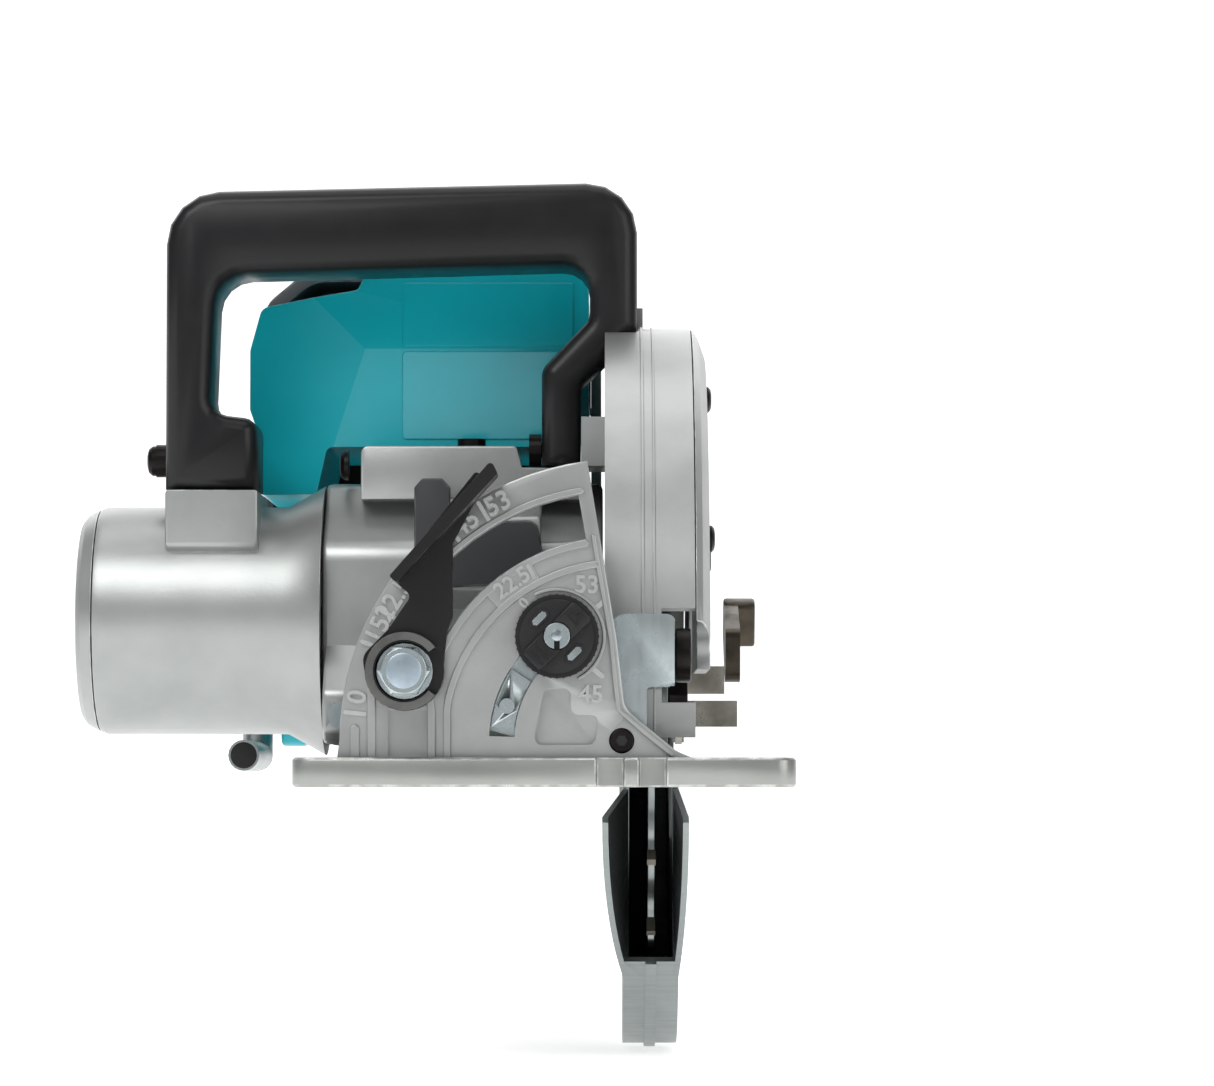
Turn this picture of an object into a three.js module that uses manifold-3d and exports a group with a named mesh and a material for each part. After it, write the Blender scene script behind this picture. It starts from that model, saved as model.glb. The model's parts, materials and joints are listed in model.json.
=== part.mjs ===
// Rear-handle cordless circular saw, built as separate sub-components.
// Millimetres, +Z up. Z = 0 is the underside of the base, X = 0 the blade's middle plane,
// and the front of the saw faces -Y. Y = 0 is the middle of the base's front bar.
import * as THREE from 'three';
import { mergeVertices } from 'three/addons/utils/BufferGeometryUtils.js';
import Module from 'manifold-3d';

const wasm = await Module();
wasm.setup();

// ---------------------------------------------------------------- driving sizes
const gap = 0.3;                 // air left between pieces that rest on each other
const boreClearance = 0.3;       // radial room of a pin in its hole

// base
const baseWidth = 130;
const baseLength = 278;
const baseRight = 37;
const baseFront = -11;
const plateThickness = 3.5;
const rimHeight = 7.7;
const rimWidth = 4;
const baseCorner = 5;
const openingLeft = -36;
const openingRight = 20.5;
const openingFront = 11;
const rearBarLength = 38;
const leverReliefLength = 64;

// blade, guard and case
const bladeDiameter = 185;
const bladeThickness = 1.6;
const bladeTeeth = 24;
const arborY = 117;
const arborZ = 25.5;              // a 185 mm blade then cuts 67 mm deep
const guardClearance = 3.4;      // blade tip to the inside of the lower guard
const guardWall = 1.6;
const guardHalfWidth = 7.5;
const caseClearance = 2.5;       // lower guard to the inside of the blade case
const caseWall = 3.5;
const caseLeft = -12.4;
const caseSideWall = 3;
const caseRight = 11.4;
const outerPlateThickness = 3.8;
const flangeRadius = 21;
const boltThreadRadius = 4;

// bevel and depth
const bevelX = -8;
const bevelZ = 12;
const bevelRange = 53;
const quadrantRadius = 73;
const lockBoltRadius = 58.8;     // lock bolt's distance from the bevel axis
const lockBoltAngle = 17.7;      // its height at rest, in degrees above level
const bracketFront = -4;
const bracketThickness = 5.5;
const angularPlate = 3;
const depthPivotZ = 34.5;
const depthRange = 34;
const depthGuideY = 205;         // middle of the depth guide, level with its pivot
const depthGuideHalfWidth = 8;
const depthClampAngle = 4;
const rearBoltRadius = 44.4;
const rearBoltAngle = 35.8;
const rearBracketY = 245;
const rearBracketThickness = 5;

// motor and gears
const motorRadius = 32.2;
const motorFlangeRadius = 38.2;   // where the motor seats on the gear housing
const motorLeft = -155;
const motorWall = 3.2;
const endCapLength = 4.7;
const motorBehind = 6.6;         // motor axis behind the arbor
const gearModule = 0.8;
const driveTeeth = 46;
const pinionTeeth = 10;
const gearWidth = 8.5;
const housingLeft = -91;
const housingRight = -13;
const gearLeft = -31;

// handles, housings and battery
const handleHeight = 169;
const handleFront = 95;
const handleDepth = 32;
const handleLeft = -135;
const rearHandleX = -57;
const rearHandleHalfWidth = 15;
const rearHandleTop = 188.3;
const housingJoint = 222;
const housingBack = 258;
const housingWall = 3;
const batteryWidth = 74;
const batteryLength = 112;
const batteryHeight = 62;
const batteryTop = 76;
const batteryFront = 264;
const hookRadius = 4.6;

// ---------------------------------------------------------------- worked-out places
const baseLeft = baseRight - baseWidth;
const baseBack = baseFront + baseLength;
const openingBack = baseBack - rearBarLength;
const bladeRadius = bladeDiameter / 2;
const guardRadius = bladeRadius + guardClearance + guardWall;
const caseInside = guardRadius + caseClearance;
const caseOutside = caseInside + caseWall;
const depthPivotY = arborY - caseOutside + 1.5;
const depthGuideRadius = depthGuideY - depthPivotY;
const bracketBack = bracketFront + bracketThickness;
const angularFront = bracketBack + 0.5;
const gearCentres = gearModule * (driveTeeth + pinionTeeth) / 2;
const motorY = arborY + motorBehind;
const motorZ = arborZ + Math.sqrt(gearCentres ** 2 - motorBehind ** 2);
const handleBack = handleFront + handleDepth;

// ---------------------------------------------------------------- shape helpers
const rad = THREE.MathUtils.degToRad;

// A closed three.js geometry becomes a solid, with its faces turned outwards.
function solid(geometry) {
  const bare = new THREE.BufferGeometry();
  bare.setAttribute('position', geometry.attributes.position.clone());
  if (geometry.index) bare.setIndex(geometry.index.clone());
  const merged = mergeVertices(bare, 1e-4);
  const corners = merged.attributes.position;
  const kept = [];
  let volume = 0;
  const a = new THREE.Vector3();
  const b = new THREE.Vector3();
  const c = new THREE.Vector3();
  for (let i = 0; i < merged.index.count; i += 3) {
    const [p, q, r] = [0, 1, 2].map((k) => merged.index.getX(i + k));
    if (p === q || q === r || p === r) continue;
    a.fromBufferAttribute(corners, p);
    b.fromBufferAttribute(corners, q);
    c.fromBufferAttribute(corners, r);
    volume += a.dot(b.cross(c));
    kept.push(p, q, r);
  }
  if (volume < 0) kept.reverse();
  return new wasm.Manifold(new wasm.Mesh({
    numProp: 3,
    vertProperties: Float32Array.from(corners.array),
    triVerts: Uint32Array.from(kept),
  }));
}

const join = (first, ...others) => others.reduce((sum, next) => sum.add(next), first);
const cut = (first, ...others) => others.reduce((sum, next) => sum.subtract(next), first);

// An outline of [u, v, radius] corners, with each corner rounded by its own radius.
function outline(corners, arcSteps = 4) {
  const points = corners.map(([u, v]) => new THREE.Vector2(u, v));
  const path = [];
  corners.forEach(([, , radius = 0], i) => {
    const here = points[i];
    const before = points.at(i - 1);
    const after = points[(i + 1) % points.length];
    const inward = before.clone().sub(here).normalize();
    const onward = after.clone().sub(here).normalize();
    const half = Math.acos(THREE.MathUtils.clamp(inward.dot(onward), -1, 1)) / 2;
    const room = 0.49 * Math.min(before.distanceTo(here), after.distanceTo(here));
    const reach = Math.min(radius / Math.tan(half), room);
    if (radius === 0 || reach < 0.05) {
      path.push(here);
      return;
    }
    const middle = inward.clone().add(onward).normalize();
    const centre = here.clone().addScaledVector(middle, reach / Math.cos(half));
    const start = here.clone().addScaledVector(inward, reach).sub(centre);
    const sweep = (Math.PI - 2 * half) * Math.sign(start.cross(middle.clone().negate()));
    for (let k = 0; k <= arcSteps; k += 1) {
      const spoke = start.clone().rotateAround(new THREE.Vector2(), (sweep * k) / arcSteps);
      path.push(spoke.add(centre));
    }
  });
  return new THREE.Shape(path);
}

const AXES = {
  x: [[0, 1, 0], [0, 0, 1], [1, 0, 0]],   // outline in (Y, Z), pulled along +X
  y: [[1, 0, 0], [0, 0, 1], [0, -1, 0]],  // outline in (X, Z), pulled along -Y
  z: [[1, 0, 0], [0, 1, 0], [0, 0, 1]],   // outline in (X, Y), pulled along +Z
};

// Pulls an outline between two places on an axis, with an optional rounded edge.
function pull(axis, shape, low, high, edge = 0) {
  const geometry = new THREE.ExtrudeGeometry(shape, {
    depth: high - low - 2 * edge,
    bevelEnabled: edge > 0,
    bevelThickness: edge,
    bevelSize: edge,
    bevelOffset: -edge,
    bevelSegments: 2,
  });
  geometry.translate(0, 0, edge);
  const [u, v, w] = AXES[axis].map((row) => new THREE.Vector3(...row));
  geometry.applyMatrix4(new THREE.Matrix4().makeBasis(u, v, w));
  const start = w.clone().multiplyScalar(axis === 'y' ? -high : low);
  geometry.translate(start.x, start.y, start.z);
  return solid(geometry);
}

const block = (x0, x1, y0, y1, z0, z1) => {
  const geometry = new THREE.BoxGeometry(x1 - x0, y1 - y0, z1 - z0);
  return solid(geometry.translate((x0 + x1) / 2, (y0 + y1) / 2, (z0 + z1) / 2));
};

// A round bar along an axis, through the point (u, v) of the plane across it.
function bar(axis, u, v, radius, low, high, sides = 24) {
  const shape = new THREE.Shape();
  for (let i = 0; i < sides; i += 1) {
    const turn = (i / sides) * 2 * Math.PI;
    const point = [u + radius * Math.cos(turn), v + radius * Math.sin(turn)];
    if (i === 0) shape.moveTo(...point);
    else shape.lineTo(...point);
  }
  return pull(axis, shape, low, high);
}

const ring = (axis, u, v, inner, outer, low, high, sides = 24) => cut(
  bar(axis, u, v, outer, low, high, sides),
  bar(axis, u, v, inner, low - 1, high + 1, sides),
);

// Part of a ring, from one angle to another, in degrees.
function sector(axis, u, v, inner, outer, from, to, low, high, steps = 16) {
  const shape = new THREE.Shape();
  for (let i = 0; i <= steps; i += 1) {
    const turn = rad(from + ((to - from) * i) / steps);
    const point = [u + outer * Math.cos(turn), v + outer * Math.sin(turn)];
    if (i === 0) shape.moveTo(...point);
    else shape.lineTo(...point);
  }
  for (let i = steps; i >= 0; i -= 1) {
    const turn = rad(from + ((to - from) * i) / steps);
    shape.lineTo(u + inner * Math.cos(turn), v + inner * Math.sin(turn));
  }
  return pull(axis, shape, low, high);
}

// A turned shape about an X axis through (y, z): [x, radius] points, axis to axis.
function turned(points, y, z, sides = 40) {
  const profile = points.map(([x, radius]) => new THREE.Vector2(radius, x));
  const geometry = new THREE.LatheGeometry(profile, sides);
  geometry.rotateZ(-Math.PI / 2);
  return solid(geometry.translate(0, y, z));
}

// A ring of straight-sided teeth around an X axis.
function toothed(y, z, teeth, root, tip, rootShare, tipShare, phase, low, high) {
  const shape = new THREE.Shape();
  for (let i = 0; i < teeth; i += 1) {
    const marks = [[root, -rootShare], [tip, -tipShare], [tip, tipShare], [root, rootShare]];
    marks.forEach(([radius, share], k) => {
      const turn = ((i + share / 2) / teeth) * 2 * Math.PI + phase;
      const point = [y + radius * Math.cos(turn), z + radius * Math.sin(turn)];
      if (i === 0 && k === 0) shape.moveTo(...point);
      else shape.lineTo(...point);
    });
  }
  return pull('x', shape, low, high);
}

const group = new THREE.Group();

function piece(name, shape, material) {
  const { vertProperties, triVerts } = shape.getMesh();
  const geometry = new THREE.BufferGeometry();
  geometry.setAttribute('position', new THREE.BufferAttribute(new Float32Array(vertProperties), 3));
  geometry.setIndex(new THREE.BufferAttribute(new Uint32Array(triVerts), 1));
  geometry.computeVertexNormals();
  const mesh = new THREE.Mesh(geometry, material);
  mesh.name = name;
  group.add(mesh);
}

// ---------------------------------------------------------------- materials
const paint = (color, roughness, metalness) => (
  new THREE.MeshStandardMaterial({ color, roughness, metalness })
);
const castSilver = paint(0xb5b8b5, 0.42, 0.8);
const zinc = paint(0xb9cdd0, 0.25, 1);
const nickel = paint(0xa8a49a, 0.35, 1);
const steel = paint(0x8b9190, 0.35, 1);
const blackSteel = paint(0x262524, 0.45, 0.6);
const leverBrown = paint(0x4a443c, 0.45, 0.6);
const blackPlastic = paint(0x2d2d2f, 0.35, 0);
const greyPlastic = paint(0x3a3c3e, 0.5, 0);
const teal = paint(0x0097a7, 0.38, 0);
const rubber = paint(0x1c1c1d, 0.8, 0);
const copper = paint(0x9a5b32, 0.4, 0.8);

// ---------------------------------------------------------------- base
// A pressed plate with a turned-up rim, a window for the blade and a relief in its
// right side that the guard lever swings through when the saw is tilted.
function basePlate() {
  const corner = baseCorner;
  const edge = [
    [baseLeft, baseFront, corner], [baseRight, baseFront, corner],
    [baseRight, baseBack, corner], [baseLeft, baseBack, corner],
  ];
  const inner = [
    [baseLeft + rimWidth, baseFront + rimWidth, corner],
    [baseRight - rimWidth, baseFront + rimWidth, corner],
    [baseRight - rimWidth, baseBack - rimWidth, corner],
    [baseLeft + rimWidth, baseBack - rimWidth, corner],
  ];
  const tray = cut(
    pull('z', outline(edge), 0, rimHeight, 0.8),
    pull('z', outline(inner), plateThickness, rimHeight + 1),
    block(openingLeft, openingRight, openingFront, openingBack, -1, rimHeight + 1),
  );
  const reliefStart = arborY + 9;
  const relief = block(
    openingRight - 1, baseRight + 1, reliefStart, reliefStart + leverReliefLength,
    -1, rimHeight + 1,
  );
  const sightNotches = [bevelX - 3, 0].map((x) => (
    block(x - 3.5, x + 3.5, baseFront - 1, baseFront + 2.5, -1, rimHeight + 1)
  ));
  return cut(tray, relief, ...sightNotches);
}
piece('base_plate', basePlate(), castSilver);

const onBevel = (radius, angle) => [
  bevelX - radius * Math.cos(rad(angle)), bevelZ + radius * Math.sin(rad(angle)),
];
const fromLeft = (angle) => 180 - angle;   // height above level on the left, as a turn
const bevelArc = (radius, from, to, steps) => {
  const points = [];
  for (let i = 0; i <= steps; i += 1) {
    const [x, z] = onBevel(radius, from + ((to - from) * i) / steps);
    points.push([x, z]);
  }
  return points;
};
const lockSlotHalf = 5.75;
const stopSlotRadius = 31;
const stopSlotHalf = 3.3;
const pivotPinRadius = 3;
const padTop = plateThickness + gap;
const knobX = -24.7;
const knobZ = 38.9;
const knobRadius = 10.8;
const knobThickness = 6.6;
const knobStem = 3;
const clipRadius = 3.4;

function frontBevelBracket() {
  const plate = pull('y', outline([
    [bevelX - quadrantRadius - 1, padTop], ...bevelArc(quadrantRadius, 0, 83, 20),
    [-14.1, 67.9, 5], [-9.2, 38.1, 5], [-7.2, 20.6, 5], [-1.2, 15.4, 5],
    [6.1, 9.4, 5], [13, 6.5, 2], [13, padTop],
  ]), bracketFront, bracketBack, 0.5);
  const lockSlot = sector(
    'y', bevelX, bevelZ, lockBoltRadius - lockSlotHalf, lockBoltRadius + lockSlotHalf,
    fromLeft(10), fromLeft(80), bracketFront - 1, bracketBack + 1,
  );
  const stopSlot = sector(
    'y', bevelX, bevelZ, stopSlotRadius - stopSlotHalf, stopSlotRadius + stopSlotHalf,
    fromLeft(2), fromLeft(45), bracketFront - 1, bracketBack + 1, 10,
  );
  const pocket = pull('y', outline([
    [-31, 10.9, 2], [-15, 10.9, 2], [-13.7, 18.6, 2], [-21.1, 18.6, 2], [-21.1, 25.6, 2],
    [-28, 25.6, 2],
  ]), bracketFront - 1, bracketFront + 2.5);
  const panel = block(-68.5, -58, bracketFront - 1, bracketFront + 1.5, 8, 20);
  const foot = pull('x', outline([
    [bracketBack - 1, padTop], [bracketBack + 6, padTop], [bracketBack + 6, padTop + 2.5],
    [bracketBack - 1, padTop + 5],
  ]), bevelX - quadrantRadius, openingLeft - 2);
  const pinHole = bar(
    'y', bevelX, bevelZ, pivotPinRadius + boreClearance, bracketFront - 1, bracketBack + 1,
  );
  const knobHole = bar('y', knobX, knobZ, knobStem + boreClearance, bracketFront - 1, bracketBack + 1);
  return join(cut(plate, lockSlot, stopSlot, pocket, panel, pinHole, knobHole), foot);
}
piece('front_bevel_bracket', frontBevelBracket(), castSilver);

const rearBracketBack = rearBracketY + rearBracketThickness;
const rearSlotHalf = 4.5;
const rearQuadrant = rearBoltRadius + 10;
function rearBevelBracket() {
  const plate = pull('y', outline([
    [bevelX - rearQuadrant - 1, padTop], ...bevelArc(rearQuadrant, 0, 98, 16),
    [5, 30, 5], [8, padTop + 4, 3], [8, padTop],
  ]), rearBracketY, rearBracketBack, 0.5);
  return cut(
    plate,
    sector(
      'y', bevelX, bevelZ, rearBoltRadius - rearSlotHalf, rearBoltRadius + rearSlotHalf,
      fromLeft(rearBoltAngle - 7), fromLeft(rearBoltAngle + bevelRange + 5),
      rearBracketY - 1, rearBracketBack + 1,
    ),
    bar('y', bevelX, bevelZ, pivotPinRadius + boreClearance, rearBracketY - 1, rearBracketBack + 1),
  );
}
piece('rear_bevel_bracket', rearBevelBracket(), castSilver);

const angularBack = angularFront + angularPlate;
const rearAngularBack = rearBracketY - gap;
const rearAngularFront = rearAngularBack - angularPlate - 0.7;
const pinHead = 5;
piece('front_pivot_pin', join(
  bar('y', bevelX, bevelZ, pivotPinRadius, bracketFront - 1, angularBack + gap + 1),
  bar('y', bevelX, bevelZ, pinHead, angularBack + gap, angularBack + gap + 2),
), blackSteel);
piece('rear_pivot_pin', join(
  bar('y', bevelX, bevelZ, pivotPinRadius, rearAngularFront - gap - 1, rearBracketBack + 1),
  bar('y', bevelX, bevelZ, pinHead, rearAngularFront - gap - 2, rearAngularFront - gap),
), blackSteel);

// bevel stop plate: a pressed strip seen through the small slot, with a rivet in it
const [stopX, stopZ] = onBevel(stopSlotRadius, 16.8);
piece('bevel_stop_plate', join(
  sector(
    'y', bevelX, bevelZ, stopSlotRadius - stopSlotHalf + gap, stopSlotRadius + stopSlotHalf - gap,
    fromLeft(6), fromLeft(33), bracketFront + 2, bracketFront + 3.5, 8,
  ),
  bar('y', stopX, stopZ, 2, bracketFront + 0.5, bracketFront + 3),
), zinc);

// stop knob: a round knob with a raised bar across it
const knobFace = bracketFront - gap;
const knobFront = knobFace - knobThickness;
function stopKnob() {
  const body = join(
    bar('y', knobX, knobZ, knobRadius, knobFront + 3, knobFace, 32),
    bar('y', knobX, knobZ, knobRadius - 1.2, knobFront + 1.8, knobFace, 32),
    bar('y', knobX, knobZ, knobStem, knobFace - 1, bracketBack - 0.5),
  );
  const grip = pull('y', outline([
    [-9.4, -3.4, 1], [9.4, -3.4, 1], [9.4, 3.4, 1], [-9.4, 3.4, 1],
  ]), 0, 4, 0.6).rotate([0, -45, 0]).translate([knobX, knobFront, knobZ]);
  return cut(
    join(body, grip),
    bar('y', knobX, knobZ, clipRadius + gap, knobFront - 1, knobFront + 1.3),
  );
}
piece('bevel_stop_knob', stopKnob(), blackPlastic);
piece('stop_knob_clip', cut(
  bar('y', knobX, knobZ, clipRadius, knobFront - 0.2, knobFront + 1),
  block(knobX - 0.7, knobX + 0.7, knobFront - 1, knobFront + 2, knobZ - 4, knobZ - 1),
), zinc);

// ---------------------------------------------------------------- bevel carriage
const [lockX, lockZ] = onBevel(lockBoltRadius, lockBoltAngle);
const lockBoltShank = 4;
const pivotEar = 8;
const pivotPin = 4;
const earLeft = 2.8;
const earRight = 5.8;

function frontAngularPlate() {
  const arm = pull('y', outline([
    [lockX - 8, lockZ - 7, 5], [bevelX, bevelZ - 6.5, 5], [bevelX + 6.5, bevelZ, 3],
    [bevelX + 6.5, 26, 1], [earRight, 26, 2], [earRight, 45, 2], [-10.5, 45, 4],
    [-12, 32, 4], [lockX + 4, lockZ + 8, 5], [lockX - 8, lockZ + 5, 5],
  ]), angularFront, angularBack);
  const ear = pull('x', outline([
    [angularFront, 26.5, 1], [depthPivotY, depthPivotZ - pivotEar, 3],
    [depthPivotY + pivotEar, depthPivotZ - pivotEar, 4],
    [depthPivotY + pivotEar, depthPivotZ + pivotEar, 4],
    [depthPivotY, depthPivotZ + pivotEar, 3], [angularFront, 44, 1],
  ]), earLeft, earRight);
  return cut(
    join(arm, ear),
    bar('y', bevelX, bevelZ, pivotPinRadius + boreClearance, angularFront - 1, angularBack + 1),
    bar('y', lockX, lockZ, lockBoltShank + boreClearance, angularFront - 1, angularBack + 1),
    bar('x', depthPivotY, depthPivotZ, pivotPin + boreClearance, earLeft - 1, earRight + 1),
  );
}
piece('front_angular_plate', frontAngularPlate(), zinc);

const [rearLockX, rearLockZ] = onBevel(rearBoltRadius, rearBoltAngle);
piece('rear_angular_plate', cut(
  pull('y', outline([
    [-16, 7, 2], [-3, 7, 3], [0, 12, 2], [0, 44, 5], [-12, 52, 6],
    [rearLockX + 4, rearLockZ + 10, 6], [rearLockX - 8, rearLockZ + 4, 6],
    [rearLockX - 8, rearLockZ - 8, 6], [-20, 18, 5],
  ]), rearAngularFront, rearAngularBack),
  bar('y', bevelX, bevelZ, pivotPinRadius + boreClearance, rearAngularFront - 1, rearAngularBack + 1),
  bar('y', rearLockX, rearLockZ, 3 + boreClearance, rearAngularFront - 1, rearAngularBack + 1),
), zinc);

// depth guide: an arc about the depth pivot, with a slot for the clamp bolt
const guideLeft = -16.5;
const guideRight = -13.5;
const clampBolt = 3;
function depthGuide() {
  const inner = depthGuideRadius - depthGuideHalfWidth;
  const outer = depthGuideRadius + depthGuideHalfWidth;
  const band = sector('x', depthPivotY, depthPivotZ, inner, outer, -6, 44, guideLeft, guideRight, 24);
  const slot = sector(
    'x', depthPivotY, depthPivotZ,
    depthGuideRadius - clampBolt - boreClearance, depthGuideRadius + clampBolt + boreClearance,
    depthClampAngle - 1.5, depthClampAngle + depthRange + 2, guideLeft - 1, guideRight + 1, 24,
  );
  const foot = block(
    guideLeft, guideRight, depthPivotY + inner - 4, rearAngularFront - gap, bevelZ + 1, bevelZ + 17,
  );
  const keepClear = bar('x', depthPivotY, depthPivotZ, inner - 4, guideLeft - 1, guideRight + 1, 90);
  return join(cut(band, slot), cut(foot, slot, keepClear));
}
piece('depth_guide', depthGuide(), steel);

piece('depth_pivot_pin', join(
  bar('x', depthPivotY, depthPivotZ, pivotPin, caseLeft, earRight + 2),
  bar('x', depthPivotY, depthPivotZ, 7.1, earRight + gap, earRight + 4.4, 32),
), blackSteel);

const leverBack = bracketFront - gap - 0.1;
const leverThickness = 2.5;
const leverFront = leverBack - leverThickness;
const clawHeight = 3;
const clawRadius = 10.2;
const hexRadius = 6.9;           // bevel lock bolt's head, to its corners
const boltHeadBack = leverFront - 1 - 2 * gap;
piece('bevel_lock_bolt', join(
  bar('y', lockX, lockZ, hexRadius, boltHeadBack - 5.5, boltHeadBack, 6),
  bar('y', lockX, lockZ, lockBoltShank, boltHeadBack - 1, angularBack + 4),
), zinc);
piece('lock_bolt_washer', ring(
  'y', lockX, lockZ, lockBoltShank + boreClearance, hexRadius + 0.4, leverFront - 1 - gap, leverFront - gap,
), zinc);

// bevel lock lever: a stamped plate with a claw round the bolt and a folded finger flange
const flangeFoot = [-67.6, 54];
const flangeTip = [-43.1, 81.9];
function bevelLockLever() {
  const plate = pull('y', outline([
    [lockX - 9.5, lockZ - 5, 5], [lockX, lockZ - 11, 6], [lockX + 9.5, lockZ - 4, 5],
    [lockX + 11, 40.3, 3], [-51.6, 44, 2], [-51.6, 63], [flangeTip[0], flangeTip[1] - 3],
    [flangeTip[0] - 2.4, flangeTip[1], 1], flangeFoot, [-62.4, 49.4, 1.5],
    [-68.4, 40.6, 3], [lockX - 11, lockZ + 4, 4],
  ]), leverFront, leverBack);
  const run = Math.hypot(flangeTip[0] - flangeFoot[0], flangeTip[1] - flangeFoot[1]);
  const rise = Math.atan2(flangeTip[1] - flangeFoot[1], flangeTip[0] - flangeFoot[0]);
  const flange = pull('y', outline([
    [0, -leverThickness, 0.6], [run + 1, -leverThickness - 1, 0.8], [run + 2.5, 0, 1], [0, 0, 0.6],
  ]), -12, leverThickness - 1).rotate([0, -THREE.MathUtils.radToDeg(rise), 0])
    .translate([flangeFoot[0], leverFront, flangeFoot[1]]);
  const claw = cut(
    ring('y', lockX, lockZ, hexRadius + 0.8, clawRadius, leverFront - clawHeight, leverBack - 0.5, 32),
    block(lockX + 5.2, lockX + 12, leverFront - clawHeight - 1, leverFront, lockZ - 6, lockZ + 6),
  );
  return cut(
    join(plate, flange, claw),
    bar('y', lockX, lockZ, lockBoltShank + boreClearance, leverFront - 1, leverBack + 1),
  );
}
piece('bevel_lock_lever', bevelLockLever(), blackSteel);

const wingFront = rearBracketBack + gap;
piece('rear_lock_bolt', join(
  bar('y', rearLockX, rearLockZ, 3, rearAngularFront - 1, rearBracketBack + 10),
  bar('y', rearLockX, rearLockZ, 5.5, rearAngularFront - gap - 3.5, rearAngularFront - gap, 6),
), zinc);
piece('rear_wing_nut', cut(
  join(
    bar('y', rearLockX, rearLockZ, 6.5, wingFront, wingFront + 8),
    ...[-1, 1].map((side) => pull('y', outline([
      [rearLockX, rearLockZ - 3], [rearLockX + side * 16, rearLockZ + 2, 2],
      [rearLockX + side * 15, rearLockZ + 10, 3], [rearLockX, rearLockZ + 4],
    ]), wingFront + 2, wingFront + 5)),
  ),
  bar('y', rearLockX, rearLockZ, 3 + boreClearance, wingFront - 1, wingFront + 9),
), zinc);

// ---------------------------------------------------------------- gear housing
const noseRadius = 22.2;
const noseRight = -6.3;
const gearCavityWall = 6;
const spindleRadius = 7.5;
const rotorShaft = 4;
const handleFootTop = 89.3;
const bearingOuter = 16;
const lockPinX = -44;
const lockPinZ = 64;
const lockPin = 3.4;
const stopScrewX = -84.5;
const stopScrewZ = 19.6;
const housingScrewX = -50;
const housingScrewY = handleFront + 18;
function gearHousing() {
  const sideways = (inset) => outline([
    [arborY - 25 + inset, 11.7 + inset, 8], [arborY + 45 - inset, 11.7 + inset, 10],
    [arborY + 60 - inset, 32 + inset, 10], [arborY + 60 - inset, 66, 12],
    [arborY + 45 - inset, 85.4 - inset, 10], [arborY - 2 + inset, 85.4 - inset, 8],
    [arborY - 25 + inset, 66 - inset, 8],
  ]);
  const shell = pull('x', sideways(0), housingLeft, housingRight, 1.5);
  const cavity = pull('x', sideways(gearCavityWall), housingLeft - 1, gearLeft + gearWidth + 3);
  const nose = bar('x', arborY, arborZ, noseRadius, openingLeft + 2, noseRight, 40);
  const gearWell = bar('x', arborY, arborZ, noseRadius - 2.6, housingLeft, gearLeft + gearWidth + 3, 40);
  const topBlock = pull('y', outline([
    [-80.5, 80], [-17, 80], [-17, 88.9, 1], [-35.5, 89], [-37, 95, 1.5], [-80.5, 95, 2],
  ]), handleFront + 3, handleBack + 8, 0.6);
  const lug = pull('x', outline([
    [78, 15, 2], [78, 26, 4], [arborY - 24, 40], [arborY - 24, 12.5], [82, 12.5, 2],
  ]), housingLeft + 1, housingLeft + 13, 1);
  const lockBoss = pull('x', outline([
    [80, 54, 2], [80, 74, 3], [arborY - 22, 80], [arborY - 22, 48],
  ]), -64, -30, 1);
  return cut(
    join(shell, nose, topBlock, lug, lockBoss),
    cavity,
    gearWell,
    bar('x', arborY, arborZ, spindleRadius + 1.5, gearLeft, noseRight + 1),
    bar('x', arborY, arborZ, bearingOuter + 0.1, housingRight - 8, noseRight + 1, 32),
    bar('y', stopScrewX, stopScrewZ, 2.3, 76, 88),
    bar('y', lockPinX, lockPinZ, lockPin + boreClearance, 79, 84),
    bar('z', housingScrewX, housingScrewY, 2, 84, 96),
  );
}
piece('gear_housing', gearHousing(), castSilver);
piece('zero_stop_screw', join(
  bar('y', stopScrewX, stopScrewZ, 3.8, 75, 77.6),
  bar('y', stopScrewX, stopScrewZ, 2, 77, 86),
), zinc);
piece('housing_screw', join(
  bar('z', housingScrewX, housingScrewY, 4, 95.2, 97.8),
  bar('z', housingScrewX, housingScrewY, 1.7, 86, 96),
), blackSteel);

// ---------------------------------------------------------------- motor
const barrelRight = -102;
const motorHousingRight = housingLeft - gap;
const statorOuter = motorRadius - motorWall - gap;
const rotorOuter = 17;
const shellInner = motorRadius - motorWall;
const pedestalRight = -109;
const pedestalTop = motorZ + motorRadius + 3.4;
function motorHousing() {
  const tube = turned([
    [motorLeft, 0], [motorLeft, motorRadius - 0.7], [motorLeft + 2, motorRadius],
    [barrelRight, motorRadius], [motorHousingRight, motorFlangeRadius], [motorHousingRight, 0],
  ], motorY, motorZ, 56);
  const bore = bar('x', motorY, motorZ, shellInner, motorLeft - 1, motorHousingRight + 1, 56);
  const pedestal = pull('x', outline([
    [handleFront, 67, 2], [handleFront, pedestalTop], [motorY + 8, pedestalTop],
    [motorY + 8, 70], [arborY - 6, 57], [arborY - 9, 57, 3],
  ]), handleLeft, pedestalRight, 1);
  const step = pull('x', outline([
    [handleFront + 6, 58, 2], [handleFront + 6, 66, 2], [arborY + 6, 76], [arborY + 4, 58],
  ]), pedestalRight - 2, housingLeft - 1, 0.8);
  return cut(join(tube, pedestal, step), bore);
}
piece('motor_housing', motorHousing(), castSilver);
const capRight = motorLeft - gap;
const motorBearing = 9;
const bearingWidth = 3;
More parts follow.
